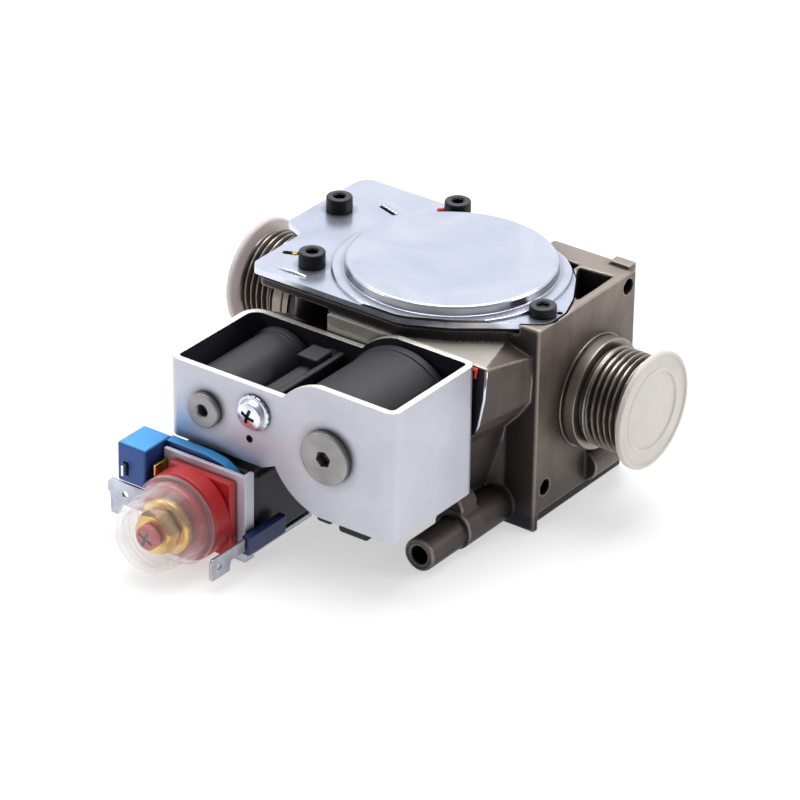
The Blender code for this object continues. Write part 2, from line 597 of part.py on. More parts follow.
coil = box(-74.6, -49.2, -75.0, -52.8, -29.5, -8.6, 1.6, 2)
cut(coil, cyl("y", mx, mz, -80.0, -45.0, 5.3, 28))
node("modulator_coil", coil, COILM)

bob = prism("y", [[(-75.2, -5.6), (-75.2, -29.4), (-50.6, -29.4), (-50.6, -13.6), (-51.5, -11.4), (-53.8, -8.4), (-57.0, -6.4), (-62.0, -5.6)]], -78.4, -75.4, "bobbin")
join(bob, box(-83.4, -74.4, -87.0, -76.2, -16.2, -5.2, 0.6, 2))
cut(bob, box(-81.5, -79.7, -90.0, -79.5, -14.1, -10.1))
cut(bob, cyl("y", mx, mz, -90.0, -70.0, 5.3, 28))
node("modulator_bobbin", bob, BLUE)

tube_m = turned("y", mx, mz, [(4.9, -53.0), (4.9, -84.6), (3.9, -84.6), (3.9, -53.0)], 28)
node("modulator_tube", tube_m, BRASS)

base = box(-70.8, -50.9, -82.6, -80.3, -29.8, -8.6, 0.5, 1)
join(base, turned("y", mx, mz, [(11.0, -82.0), (11.4, -82.6), (11.9, -83.0), (11.9, -87.8), (11.3, -88.4), (9.6, -88.4), (9.6, -91.2), (5.4, -91.2), (5.4, -82.0)], 28))
cut(base, cyl("y", mx, mz, -95.0, -75.0, 5.4, 28))
node("modulator_base", base, RED)

bush = turned("y", mx, mz, [(4.95, -84.9), (4.95, -92.2), (7.4, -92.2), (7.4, -94.2), (6.9, -94.7), (3.2, -94.7), (3.2, -84.9)], 28)
node("max_pressure_seat", bush, BRASS)
nut = prism("y", [hexagon(mx, mz, 10.0, 30)], -99.4, -95.0)
join(nut, cyl("y", mx, mz, -95.5, -87.0, 3.0, 24))
cut(nut, cyl("y", mx, mz, -110.0, -90.0, 1.7, 20))
node("max_pressure_nut", nut, BRASS, origin=(mx, -97.0, mz))
ms = turned("y", mx, mz, [(0.0, -91.0), (1.35, -91.0), (1.35, -99.7), (3.2, -99.7), (3.2, -101.4), (2.8, -101.8), (0.0, -101.8)], 24)
cut(ms, box(mx - 4, mx + 4, -103.0, -101.0, mz - 0.4, mz + 0.4))
node("min_pressure_screw", ms, RED, origin=(mx, -100.0, mz))

cap = turned("y", mx, mz, [(9.95, -88.7), (11.4, -88.7), (11.8, -89.1), (11.8, -90.6), (11.0, -91.2), (10.6, -92.0), (9.9, -98.0),
                           (9.4, -98.6), (9.2, -99.4), (9.2, -102.0), (8.3, -103.4), (6.7, Y_MIN), (0.0, Y_MIN)]
             + [(0.0, -103.0), (6.3, -103.0), (7.8, -101.9), (8.1, -100.6), (8.2, -98.4), (8.9, -97.2), (9.6, -91.8), (9.95, -91.5)], 24)
node("modulator_cap", cap, CLEAR, origin=(mx, -96.0, mz))

pl = turned("y", mx, mz, [(0.0, -48.0), (1.6, -48.0), (1.6, -54.6), (3.7, -55.0), (3.7, -74.0), (0.0, -74.0)], 24)
node("modulator_plunger", pl, STEEL, origin=(mx, -64.0, mz))
node("modulator_spring", helix("y", mx, mz, -84.0, -74.6, 2.9, 0.4, 3.0, 10), STEEL, origin=(mx, -74.6, mz))
node("servo_valve_disc", turned("y", mx, mz, [(0.0, -44.0), (3.4, -44.0), (3.4, -45.6), (2.6, -47.6), (0.0, -47.6)], 20), RUBBER, origin=(mx, -46.0, mz))

# terminals: two spades in the blue housing, a long one low on the right, and an earth tab
node("spade_1", box(-81.0, -80.2, -88.6, -79.9, -13.6, -10.6, 0.0), BRASS)
node("spade_2", box(-73.6, -72.8, -85.0, -80.3, -12.6, -9.6, 0.0), BRASS)
sp = prism("x", [[(-96.0, -23.2), (-95.4, -22.6), (-82.3, -22.6), (-82.3, -26.0), (-88.0, -26.0), (-88.6, -28.7), (-95.4, -28.7), (-96.0, -28.1)]], -47.3, -46.5)
cut(sp, cyl("x", -92.6, -25.6, -50.0, -45.0, 0.85, 12))
node("modulator_spade", sp, ZINC)
node("spade_carrier", box(-48.1, -45.7, -82.0, -66.6, -27.6, -22.2, 0.5, 1), BLUE)
tab = prism("y", [[(-87.2, -18.2), (-86.2, -17.0), (-75.0, -17.0), (-75.0, -23.2), (-82.4, -23.4), (-83.8, -26.8), (-86.2, -26.8), (-86.4, -21.2), (-87.2, -20.6)]], -86.4, -85.6)
join(tab, box(-75.8, -75.0, -86.4, -79.0, -23.2, -17.0))
cut(tab, cyl("y", -81.6, -20.2, -90.0, -80.0, 1.0, 14))
node("earth_tab", tab, ZINC)

bpy.context.view_layer.update()
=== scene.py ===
"""Looks of the gas valve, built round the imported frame.

Lengths below are millimetres in the valve's own frame (gas axis along X through
y 0, z 0, outlet flange face at x 0); OFF moves them to the frame's origin.
"""

import math
import random

import bpy
import bmesh
from mathutils import Matrix, Vector, noise


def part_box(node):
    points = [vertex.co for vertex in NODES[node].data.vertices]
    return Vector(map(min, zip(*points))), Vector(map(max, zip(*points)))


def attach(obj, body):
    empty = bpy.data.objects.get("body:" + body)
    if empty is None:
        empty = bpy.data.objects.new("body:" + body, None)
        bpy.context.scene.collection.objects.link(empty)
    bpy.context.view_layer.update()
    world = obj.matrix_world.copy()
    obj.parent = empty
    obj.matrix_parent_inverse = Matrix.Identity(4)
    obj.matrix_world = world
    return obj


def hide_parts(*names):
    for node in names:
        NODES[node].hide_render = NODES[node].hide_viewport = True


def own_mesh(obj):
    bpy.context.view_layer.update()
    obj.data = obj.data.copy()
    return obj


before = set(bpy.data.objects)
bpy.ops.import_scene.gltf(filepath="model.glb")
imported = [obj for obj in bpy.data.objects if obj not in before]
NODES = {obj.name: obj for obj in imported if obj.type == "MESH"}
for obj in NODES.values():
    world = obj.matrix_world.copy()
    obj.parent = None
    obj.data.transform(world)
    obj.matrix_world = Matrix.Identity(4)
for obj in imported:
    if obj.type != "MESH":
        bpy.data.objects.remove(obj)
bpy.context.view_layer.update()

MM = 0.001
OFF = Vector((43.0, 41.8, 31.1))
TEMP = bpy.data.collections.new("helpers")
bpy.context.scene.collection.children.link(TEMP)
MAIN = bpy.context.scene.collection

MIRROR_X = -43.0
DOME = (-37.0, -9.5)
EV1 = (-27.5, 3.7)
EV2 = (-65.2, 4.5)
MOD = (-62.5, -19.2)
FLOOR_Z = -31.1


# ------------------------------------------------------------------ modelling
def link(obj):
    TEMP.objects.link(obj)
    return obj


def clean(mesh, dist=0.000002, dissolve=False):
    bm = bmesh.new()
    bm.from_mesh(mesh)
    bmesh.ops.remove_doubles(bm, verts=bm.verts, dist=dist)
    if dissolve:
        bmesh.ops.dissolve_degenerate(bm, edges=bm.edges, dist=dist)
        bmesh.ops.dissolve_limit(bm, angle_limit=math.radians(0.1), verts=bm.verts, edges=bm.edges)
    bmesh.ops.recalc_face_normals(bm, faces=bm.faces)
    bm.to_mesh(mesh)
    bm.free()


def bake(obj):
    graph = bpy.context.evaluated_depsgraph_get()
    graph.update()
    mesh = bpy.data.meshes.new_from_object(obj.evaluated_get(graph))
    old = obj.data
    obj.modifiers.clear()
    obj.data = mesh
    bpy.data.meshes.remove(old)
    return obj


AXES = {
    "z": Matrix(((1, 0, 0), (0, 1, 0), (0, 0, 1))),
    "y": Matrix(((1, 0, 0), (0, 0, 1), (0, 1, 0))),
    "x": Matrix(((0, 0, 1), (1, 0, 0), (0, 1, 0))),
}


def turn_to(obj, axis):
    turn = AXES[axis].to_4x4()
    obj.data.transform(turn)
    if turn.determinant() < 0:
        obj.data.flip_normals()
    return obj


def box(x0, x1, y0, y1, z0, z1, bevel=0.0, seg=2, name="box"):
    bm = bmesh.new()
    size = Vector((x1 - x0, y1 - y0, z1 - z0)) * MM
    mid = Vector((x1 + x0, y1 + y0, z1 + z0)) * MM / 2
    bmesh.ops.create_cube(bm, size=1.0, matrix=Matrix.Translation(mid) @ Matrix.Diagonal((*size, 1)))
    if bevel:
        bmesh.ops.bevel(bm, geom=list(bm.edges), offset=bevel * MM, segments=seg, profile=0.5, affect="EDGES")
    mesh = bpy.data.meshes.new(name)
    bm.to_mesh(mesh)
    bm.free()
    return link(bpy.data.objects.new(name, mesh))


def cyl(axis, a, b, s0, s1, r, seg=48, r2=None, name="cyl"):
    bm = bmesh.new()
    bmesh.ops.create_cone(bm, cap_ends=True, segments=seg, radius1=r * MM,
                          radius2=(r if r2 is None else r2) * MM, depth=(s1 - s0) * MM,
                          matrix=Matrix.Translation((a * MM, b * MM, (s0 + s1) / 2 * MM)))
    bmesh.ops.recalc_face_normals(bm, faces=bm.faces)
    mesh = bpy.data.meshes.new(name)
    bm.to_mesh(mesh)
    bm.free()
    return turn_to(link(bpy.data.objects.new(name, mesh)), axis)


def turned(axis, a, b, profile, seg=96, name="turned", mirror=None, wobble=None):
    """Profile of (radius, position) turned round an axis, as a closed surface."""
    mesh = bpy.data.meshes.new(name)
    pts = [(r * MM, 0.0, s * MM) for r, s in profile]
    edges = [(i, i + 1) for i in range(len(pts) - 1)]
    if profile[0][0] > 1e-9 or profile[-1][0] > 1e-9:
        edges.append((len(pts) - 1, 0))
    mesh.from_pydata(pts, edges, [])
    obj = link(bpy.data.objects.new(name, mesh))
    mod = obj.modifiers.new("turn", "SCREW")
    mod.axis = "Z"
    mod.angle = 2 * math.pi
    mod.steps = mod.render_steps = seg
    mod.use_merge_vertices = True
    mod.merge_threshold = 0.000001
    bake(obj)
    clean(obj.data, 0.000001)
    obj.data.transform(Matrix.Translation((a * MM, b * MM, 0)))
    turn_to(obj, axis)
    if mirror is not None:
        obj.data.transform(Matrix.Translation((2 * mirror * MM, 0, 0)) @ Matrix.Diagonal((-1, 1, 1, 1)))
        obj.data.flip_normals()
    return obj


def fillet(points, radii, n=4):
    """Open or turned profile with its inner corners rounded; ends stay."""
    out = [points[0]]
    for i in range(1, len(points) - 1):
        r = radii if not isinstance(radii, (list, tuple)) else radii[i]
        p, a, b = Vector(points[i]), Vector(points[i - 1]), Vector(points[i + 1])
        da, db = a - p, b - p
        if r <= 0 or da.length < 1e-6 or db.length < 1e-6:
            out.append(points[i])
            continue
        angle = da.angle(db)
        if angle > 3.1 or angle < 0.02:
            out.append(points[i])
            continue
        reach = min(r / math.tan(angle / 2), 0.48 * da.length, 0.48 * db.length)
        rr = reach * math.tan(angle / 2)
        centre = p + (da.normalized() + db.normalized()).normalized() * (rr / math.sin(angle / 2))
        start = p + da.normalized() * reach - centre
        end = p + db.normalized() * reach - centre
        sweep = start.angle_signed(end)
        for k in range(n + 1):
            v = start.copy()
            v.rotate(Matrix.Rotation(-sweep * k / n, 2))
            out.append((centre.x + v.x, centre.y + v.y))
    out.append(points[-1])
    return out


def rounded(points, radii, n=6):
    count = len(points)
    out = []
    for i in range(count):
        r = radii[i] if isinstance(radii, (list, tuple)) else radii
        tri = [points[i - 1], points[i], points[(i + 1) % count]]
        out += fillet(tri, r, n)[1:-1] if r > 0 else [points[i]]
    return out


def prism(axis, outlines, s0, s1, name="prism"):
    curve = bpy.data.curves.new(name, "CURVE")
    curve.dimensions = "2D"
    curve.fill_mode = "BOTH"
    curve.extrude = (s1 - s0) / 2 * MM
    for pts in outlines:
        spline = curve.splines.new("POLY")
        spline.points.add(len(pts) - 1)
        for point, (u, v) in zip(spline.points, pts):
            point.co = (u * MM, v * MM, 0, 1)
        spline.use_cyclic_u = True
    temp = link(bpy.data.objects.new(name + "_outline", curve))
    graph = bpy.context.evaluated_depsgraph_get()
    graph.update()
    mesh = bpy.data.meshes.new_from_object(temp.evaluated_get(graph))
    clean(mesh)
    bpy.data.objects.remove(temp, do_unlink=True)
    mesh.transform(Matrix.Translation((0, 0, (s0 + s1) / 2 * MM)))
    return turn_to(link(bpy.data.objects.new(name, mesh)), axis)


def loft(sections):
    """Solid through outlines of the same length, each in its own plane across Y."""
    bm = bmesh.new()
    rings = [[bm.verts.new((x * MM, y * MM, z * MM)) for x, z in pts] for y, pts in sections]
    bm.faces.new(rings[0])
    bm.faces.new(rings[-1][::-1])
    n = len(rings[0])
    for a, b in zip(rings, rings[1:]):
        for i in range(n):
            j = (i + 1) % n
            bm.faces.new((a[i], b[i], a[j]))
            bm.faces.new((b[i], b[j], a[j]))
    bmesh.ops.recalc_face_normals(bm, faces=bm.faces[:])
    bmesh.ops.triangulate(bm, faces=[f for f in bm.faces if len(f.verts) > 4], ngon_method="EAR_CLIP")
    if bm.calc_volume(signed=True) < 0:
        bmesh.ops.reverse_faces(bm, faces=bm.faces[:])
    mesh = bpy.data.meshes.new("loft")
    bm.to_mesh(mesh)
    bm.free()
    return link(bpy.data.objects.new("loft", mesh))


def tube(points, radius, name="wire", rings=4, cyclic=False):
    curve = bpy.data.curves.new(name, "CURVE")
    curve.dimensions = "3D"
    curve.bevel_depth = radius * MM
    curve.bevel_resolution = rings
    curve.use_fill_caps = True
    spline = curve.splines.new("POLY")
    spline.points.add(len(points) - 1)
    for point, p in zip(spline.points, points):
        point.co = (p[0] * MM, p[1] * MM, p[2] * MM, 1)
    spline.use_cyclic_u = cyclic
    temp = link(bpy.data.objects.new(name + "_path", curve))
    graph = bpy.context.evaluated_depsgraph_get()
    graph.update()
    mesh = bpy.data.meshes.new_from_object(temp.evaluated_get(graph))
    clean(mesh)
    bpy.data.objects.remove(temp, do_unlink=True)
    return link(bpy.data.objects.new(name, mesh))


def op(obj, others, kind):
    for other in others if isinstance(others, (list, tuple)) else [others]:
        mod = obj.modifiers.new("cut", "BOOLEAN")
        mod.operation = kind
        mod.solver = "EXACT"
        mod.object = other
        bake(obj)
        bpy.data.objects.remove(other, do_unlink=True)
    return obj


def join(obj, *others):
    return op(obj, list(others), "UNION")


def cut(obj, *others):
    return op(obj, list(others), "DIFFERENCE")


def merge(obj, *others):
    """Puts loose shells into one object without a boolean."""
    bm = bmesh.new()
    bm.from_mesh(obj.data)
    for other in others:
        bm.from_mesh(other.data)
        bpy.data.objects.remove(other, do_unlink=True)
    bm.to_mesh(obj.data)
    bm.free()
    return obj


def bevel(obj, width, seg=3, angle=35):
    clean(obj.data, 0.000002, dissolve=True)
    mod = obj.modifiers.new("edges", "BEVEL")
    mod.width = width * MM
    mod.segments = seg
    mod.limit_method = "ANGLE"
    mod.angle_limit = math.radians(angle)
    mod.use_clamp_overlap = True
    mod.miter_outer = "MITER_ARC"
    return bake(obj)


def arc(cx, cy, r, a0, a1, n):
    return [(cx + r * math.cos(math.radians(a0 + (a1 - a0) * i / n)),
             cy + r * math.sin(math.radians(a0 + (a1 - a0) * i / n))) for i in range(n + 1)]


def circle(cx, cy, r, n=64):
    return arc(cx, cy, r, 0, 360 - 360 / n, n - 1)


def hexagon(cx, cy, flats, turn=0.0):
    r = flats / math.sqrt(3)
    return [(cx + r * math.cos(math.radians(60 * k + turn)), cy + r * math.sin(math.radians(60 * k + turn)))
            for k in range(6)]


def piece(name, obj, mat, body, replaces=(), smooth=32, extra=()):
    """Finishes a helper as a visible piece of the valve riding on a CAD body."""
    TEMP.objects.unlink(obj)
    MAIN.objects.link(obj)
    obj.name = name
    obj.data.name = name
    obj.data.transform(Matrix.Translation(OFF * MM))
    obj.data.materials.clear()
    for m in (mat, *extra):
        obj.data.materials.append(m)
    obj.data.shade_smooth()
    if smooth < 180:
        obj.data.set_sharp_from_angle(angle=math.radians(smooth))
        mod = obj.modifiers.new("normals", "WEIGHTED_NORMAL")
        mod.keep_sharp = True
        mod.weight = 60
        bake(obj)
        obj.data.name = name
    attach(obj, body)
    if replaces:
        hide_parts(*([replaces] if isinstance(replaces, str) else replaces))
    return obj


def paint(obj, index, test):
    """Gives faces that pass test(centre mm, normal) the material slot index."""
    for face in obj.data.polygons:
        c = face.center / MM - OFF
        if test(c, face.normal):
            face.material_index = index


# ------------------------------------------------------------------ materials
class Mat:
    """Small helper round a node tree whose coordinates are object space metres."""

    def __init__(self, name, rough=0.4, metal=0.0):
        self.mat = bpy.data.materials.new(name)
        self.mat.use_nodes = True
        self.t = self.mat.node_tree
        self.n = self.t.nodes
        self.l = self.t.links
        self.s = self.n["Principled BSDF"]
        self.s.inputs["Roughness"].default_value = rough
        self.s.inputs["Metallic"].default_value = metal
        self.co = self.n.new("ShaderNodeTexCoord").outputs["Object"]

    def noise(self, scale, detail=4.0, rough=0.55, stretch=(1, 1, 1), distortion=0.0):
        m = self.n.new("ShaderNodeMapping")
        m.inputs["Scale"].default_value = stretch
        self.l.new(self.co, m.inputs["Vector"])
        t = self.n.new("ShaderNodeTexNoise")
        t.inputs["Scale"].default_value = scale
        t.inputs["Detail"].default_value = detail
        t.inputs["Roughness"].default_value = rough
        t.inputs["Distortion"].default_value = distortion
        self.l.new(m.outputs["Vector"], t.inputs["Vector"])
        return t.outputs["Fac"]

    def voronoi(self, scale, feature="F1"):
        t = self.n.new("ShaderNodeTexVoronoi")
        t.feature = feature
        t.inputs["Scale"].default_value = scale
        self.l.new(self.co, t.inputs["Vector"])
        return t.outputs["Distance"]

    def ramp(self, fac, stops):
        r = self.n.new("ShaderNodeValToRGB")
        e = r.color_ramp.elements
        while len(e) < len(stops):
            e.new(0.5)
        for item, (pos, col) in zip(e, stops):
            item.position = pos
            item.color = (*col, 1.0) if len(col) == 3 else col
        self.l.new(fac, r.inputs["Fac"])
        return r.outputs["Color"]

    def mix(self, fac, a, b, blend="MIX"):
        m = self.n.new("ShaderNodeMix")
        m.data_type = "RGBA"
        m.blend_type = blend
        for key, val in (("Factor", fac), ("A", a), ("B", b)):
            socket = [s for s in m.inputs if s.name == key and s.enabled][0]
            if isinstance(val, (int, float)):
                socket.default_value = val
            elif isinstance(val, tuple):
                socket.default_value = (*val, 1.0)
            else:
                self.l.new(val, socket)
        return [o for o in m.outputs if o.enabled][0]

    def math(self, kind, a, b=0.5):
        m = self.n.new("ShaderNodeMath")
        m.operation = kind
        for i, val in enumerate((a, b)):
            if isinstance(val, (int, float)):
                m.inputs[i].default_value = val
            else:
                self.l.new(val, m.inputs[i])
        return m.outputs[0]

    def span(self, fac, lo, hi, a=0.0, b=1.0):
        m = self.n.new("ShaderNodeMapRange")
        m.inputs["From Min"].default_value = a
        m.inputs["From Max"].default_value = b
        m.inputs["To Min"].default_value = lo
        m.inputs["To Max"].default_value = hi
        self.l.new(fac, m.inputs["Value"])
        return m.outputs["Result"]

    def hide(self, distance=3.0, power=1.6, samples=6, local=False):
        """Painted shade mask: near 1 on open faces and near 0 in corners and hollows."""
        a = self.n.new("ShaderNodeAmbientOcclusion")
        a.samples = samples
        a.only_local = local
        a.inputs["Distance"].default_value = distance * MM
        return self.math("POWER", a.outputs["AO"], power)

    def facing(self, axis, lo=0.0, hi=1.0):
        """0 to 1 as the surface turns towards an axis such as (0, 0, 1)."""
        g = self.n.new("ShaderNodeNewGeometry")
        d = self.n.new("ShaderNodeVectorMath")
        d.operation = "DOT_PRODUCT"
        self.l.new(g.outputs["Normal"], d.inputs[0])
        d.inputs[1].default_value = axis
        return self.span(d.outputs["Value"], 0.0, 1.0, lo, hi)

    def height(self, lo, hi):
        """0 to 1 as the place rises from lo to hi millimetres above the foot."""
        sep = self.n.new("ShaderNodeSeparateXYZ")
        self.l.new(self.co, sep.inputs[0])
        return self.span(sep.outputs["Z"], 0.0, 1.0, lo * MM, hi * MM)

    def place(self, axis, lo, hi):
        """0 to 1 as the place goes from lo to hi metres along an axis."""
        sep = self.n.new("ShaderNodeSeparateXYZ")
        self.l.new(self.co, sep.inputs[0])
        return self.span(sep.outputs[axis], 0.0, 1.0, lo, hi)

    def edges(self, lo=0.508, hi=0.57):
        """1 on convex edges, 0 elsewhere, from a dense mesh's pointiness."""
        g = self.n.new("ShaderNodeNewGeometry")
        return self.span(g.outputs["Pointiness"], 0.0, 1.0, lo, hi)

    def edge_highlight(self, radius=0.35, amount=0.9):
        """Painted highlight on edges, on a mesh of any density, from a rounded normal."""
        b = self.n.new("ShaderNodeBevel")
        b.samples = 3
        b.inputs["Radius"].default_value = radius * MM
        g = self.n.new("ShaderNodeNewGeometry")
        d = self.n.new("ShaderNodeVectorMath")
        d.operation = "DOT_PRODUCT"
        self.l.new(b.outputs["Normal"], d.inputs[0])
        self.l.new(g.outputs["Normal"], d.inputs[1])
        return self.span(d.outputs["Value"], amount, 0.0, 0.82, 0.995)

    def set(self, **kw):
        names = {"color": "Base Color", "rough": "Roughness", "metal": "Metallic", "spec": "Specular IOR Level", "ior": "IOR",
                 "coat": "Coat Weight", "coat_rough": "Coat Roughness", "trans": "Transmission Weight", "alpha": "Alpha",
                 "aniso": "Anisotropic", "sss": "Subsurface Weight", "sheen": "Sheen Weight"}
        for key, val in kw.items():
            socket = self.s.inputs[names[key]]
            if isinstance(val, (int, float)):
                socket.default_value = val
            elif isinstance(val, tuple):
                socket.default_value = (*val, 1.0)
            else:
                self.l.new(val, socket)
        return self

    def bump(self, height, strength=0.3, distance=0.05, chain=None):
        b = self.n.new("ShaderNodeBump")
        b.inputs["Strength"].default_value = strength
        b.inputs["Distance"].default_value = distance * MM
        self.l.new(height, b.inputs["Height"])
        if chain is not None:
            self.l.new(chain, b.inputs["Normal"])
        self.l.new(b.outputs["Normal"], self.s.inputs["Normal"])
        return b.outputs["Normal"]


def lin(hexa):
    """Linear colour from a display colour such as 'a0b0c0'."""
    out = []
    for i in (0, 2, 4):
        c = int(hexa[i:i + 2], 16) / 255
        out.append(c / 12.92 if c <= 0.04045 else ((c + 0.055) / 1.055) ** 2.4)
    return tuple(out)


def cast_metal():
    m = Mat("cast_metal", 0.42, 0.6)
    big = m.noise(70, 3)
    streak = m.noise(240, 4, 0.6, stretch=(1, 1, 0.22))
    grain = m.noise(800, 4)
    fine = m.noise(2400, 3)
    col = m.ramp(big, [(0.3, lin("675c55")), (0.55, lin("786d65")), (0.75, lin("877c74"))])
    col = m.mix(m.span(streak, 0.0, 0.5, 0.45, 0.75), col, lin("534946"))
    # Painted shade: faces turned to the front (-Y) are darkened.
    col = m.mix(m.facing((0, -1, 0), 0.2, 0.9), col, m.mix(0.8, col, lin("332d30")))
    # Painted light: faces turned up are lightened.
    col = m.mix(m.facing((0, 0, 1), 0.93, 1.0), col, lin("968e86"))
    # Painted shade: the casting gets darker towards the bottom.
    low = m.span(m.height(4.0, 34.0), 0.52, 0.0)
    col = m.mix(low, col, lin("2d2829"))
    # Painted shade: the front of the casting, ahead of about y -25, is darkened.
    col = m.mix(m.span(m.place("Y", 0.0150, 0.0172), 0.55, 0.0), col, lin("332b2e"))
    # Painted shade: a dark band along the foot, below about z -26.5.
    col = m.mix(m.span(m.place("Z", 0.0040, 0.0047), 0.8, 0.0), col, lin("161318"))
    # Painted highlight: convex edges, found from the mesh's pointiness, are lightened.
    col = m.mix(m.edges(0.508, 0.57), col, lin("b9afa5"))
    # Painted shade: corners and hollows are darkened.
    col = m.mix(m.hide(7.0, 1.3), lin("17141a"), col)
    m.set(color=col, rough=m.span(grain, 0.34, 0.56))
    m.bump(m.mix(0.35, grain, fine), 0.32, 0.07)
    return m.mat


# top is how strongly upward faces are lightened as painted light.
def machined(name="machined_metal", base="a0968c", dark="7a7069", ao=2.5, top=0.5, metal=0.8):
    m = Mat(name, 0.3, metal)
    big = m.noise(140, 3)
    fine = m.noise(3000, 2)
    col = m.ramp(big, [(0.3, lin(dark)), (0.7, lin(base))])
    # Painted light: faces turned up are lightened, by up to top.
    col = m.mix(m.span(m.facing((0, 0, 1), 0.3, 0.95), 0.0, top), col, lin("d2ccc4"))
    # Painted shade: faces turned down are darkened.
    col = m.mix(m.span(m.facing((0, 0, -1), 0.0, 0.8), 0.0, 0.6), col, lin("3a3433"))
    # Painted highlight on edges.
    col = m.mix(m.edge_highlight(0.25), col, lin("d9d2ca"))
    # Painted shade: corners and hollows are darkened.
    col = m.mix(m.hide(ao, 1.6), lin("1d191a"), col)
    m.set(color=col, rough=m.span(fine, 0.24, 0.38))
    m.bump(fine, 0.15, 0.02)
    return m.mat


def zinc(name="zinc_plating", base="dfe4f3", dark="ccd3e6", rough=(0.2, 0.3), ao=2.0, bump=0.05, metal=0.9, side=None):
    m = Mat(name, 0.25, metal)
    cloud = m.noise(38, 4, distortion=0.8)
    mid = m.noise(300, 4, 0.6)
    fine = m.noise(2600, 2)
    col = m.ramp(cloud, [(0.3, lin(dark)), (0.55, lin(base)), (0.8, lin("eceff9"))])
    col = m.mix(m.span(mid, 0.0, 0.16, 0.45, 0.75), col, lin("c4cadb"))
    # Painted reflection: with side given, upright faces are darkened towards that colour.
    if side:
        col = m.mix(m.facing((0, 0, 1), 0.35, 0.1), col, lin(side))
    # Painted highlight: edges are lightened to white.
    col = m.mix(m.edge_highlight(0.3, 0.8), col, lin("ffffff"))
    # Painted shade: corners and hollows are darkened.
    col = m.mix(m.hide(ao, 1.2), lin("4a4a52"), col)
    m.set(color=col, rough=m.span(mid, rough[0], rough[1]))
    m.bump(m.mix(0.5, mid, fine), bump, 0.02)
    return m.mat


def satin(name="satin_sheet"):
    m = Mat(name, 0.4, 0.75)
    cloud = m.noise(45, 3)
    mottle = m.noise(420, 5, 0.65)
    lines = m.noise(260, 3, 0.6, stretch=(1, 1, 14))
    col = m.ramp(cloud, [(0.3, lin("bfc1cc")), (0.65, lin("cbccd6")), (0.85, lin("d6d6dd"))])
    col = m.mix(m.span(mottle, 0.0, 0.35, 0.5, 0.8), col, lin("b4b5c0"))
    # Painted shade: corners and hollows are darkened.
    col = m.mix(m.hide(3.0, 1.3), lin("55555f"), col)
    m.set(color=col, rough=m.span(lines, 0.34, 0.48))
    m.bump(m.mix(0.35, mottle, lines), 0.12, 0.03)
    return m.mat


def inside_shade_sheet():
    """Painted shade: a dark colour for the inside of the bracket, where shade falls."""
    m = Mat("sheet_inside_painted_shade", 0.5, 0.5)
    cloud = m.noise(60, 3)
    mottle = m.noise(420, 5, 0.65)
    col = m.ramp(cloud, [(0.3, lin("25252f")), (0.7, lin("363642"))])
    col = m.mix(m.span(mottle, 0.0, 0.3), col, lin("4a4a57"))
    m.set(color=col, rough=m.span(mottle, 0.4, 0.6))
    m.bump(mottle, 0.12, 0.03)
    return m.mat


def cut_edge():
    m = Mat("cut_edge", 0.35, 0.7)
    f = m.noise(1500, 3, 0.6, stretch=(1, 1, 0.15))
    m.set(color=m.ramp(f, [(0.3, lin("e4e1da")), (0.7, lin("fffdf6"))]), rough=m.span(f, 0.3, 0.5))
    m.bump(f, 0.25, 0.03)
    return m.mat


def black_oxide():
    m = Mat("black_oxide", 0.35, 0.3)
    f = m.noise(1800, 3)
    col = m.ramp(f, [(0.3, lin("0c0b0e")), (0.7, lin("161519"))])
    # Painted light: faces turned up are lightened.
    col = m.mix(m.span(m.facing((0, 0, 1), 0.75, 0.98), 0.0, 0.7), col, lin("545159"))
    # Painted highlight on edges.
    col = m.mix(m.edge_highlight(0.3, 0.75), col, lin("9a97a0"))
    # Painted shade: corners and hollows are darkened.
    col = m.mix(m.hide(2.0, 1.5), lin("050506"), col)
    m.set(color=col, rough=m.span(f, 0.36, 0.5), spec=0.3)
    m.bump(f, 0.2, 0.03)
    return m.mat


def moulding(name, a, b, rough=(0.42, 0.6), edge=None, spec=0.5, grain=1600, metal=0.0, ao=None, top=None):
    m = Mat(name, 0.5, metal)
    big = m.noise(80, 4)
    fine = m.noise(grain, 3)
    scuff = m.noise(320, 5, 0.7)
    col = m.ramp(big, [(0.3, lin(a)), (0.7, lin(b))])
    # Painted light: with top given, faces turned up are lightened towards it.
    if top:
        col = m.mix(m.facing((0, 0, 1), 0.2, 1.0), col, lin(top))
    if edge:
        col = m.mix(m.span(scuff, 0.0, 0.35, 0.5, 0.8), col, lin(edge))
        # Painted highlight on edges, in the edge colour.
        col = m.mix(m.edge_highlight(0.3, 0.6), col, lin(edge))
    if ao:
        # Painted shade: corners and hollows are darkened.
        col = m.mix(m.hide(ao, 1.4), lin("08080c"), col)
    m.set(color=col, rough=m.span(fine, *rough), spec=spec)
    m.bump(m.mix(0.6, fine, scuff), 0.2, 0.04)
    return m.mat


def turned_steel(name="turned_steel", a="6f6965", b="8d8782", rough=(0.26, 0.4), metal=0.85):
    m = Mat(name, 0.3, metal)
    fine = m.noise(2500, 2)
    big = m.noise(150, 3)
    col = m.ramp(big, [(0.3, lin(a)), (0.7, lin(b))])
    # Painted highlight on edges.
    col = m.mix(m.edge_highlight(0.3, 0.8), col, lin("cfcbc7"))
    # Painted shade: corners and hollows are darkened.
    col = m.mix(m.hide(2.2, 1.8), lin("0d0c0e"), col)
    m.set(color=col, rough=m.span(fine, *rough))
    m.bump(fine, 0.12, 0.02)
    return m.mat


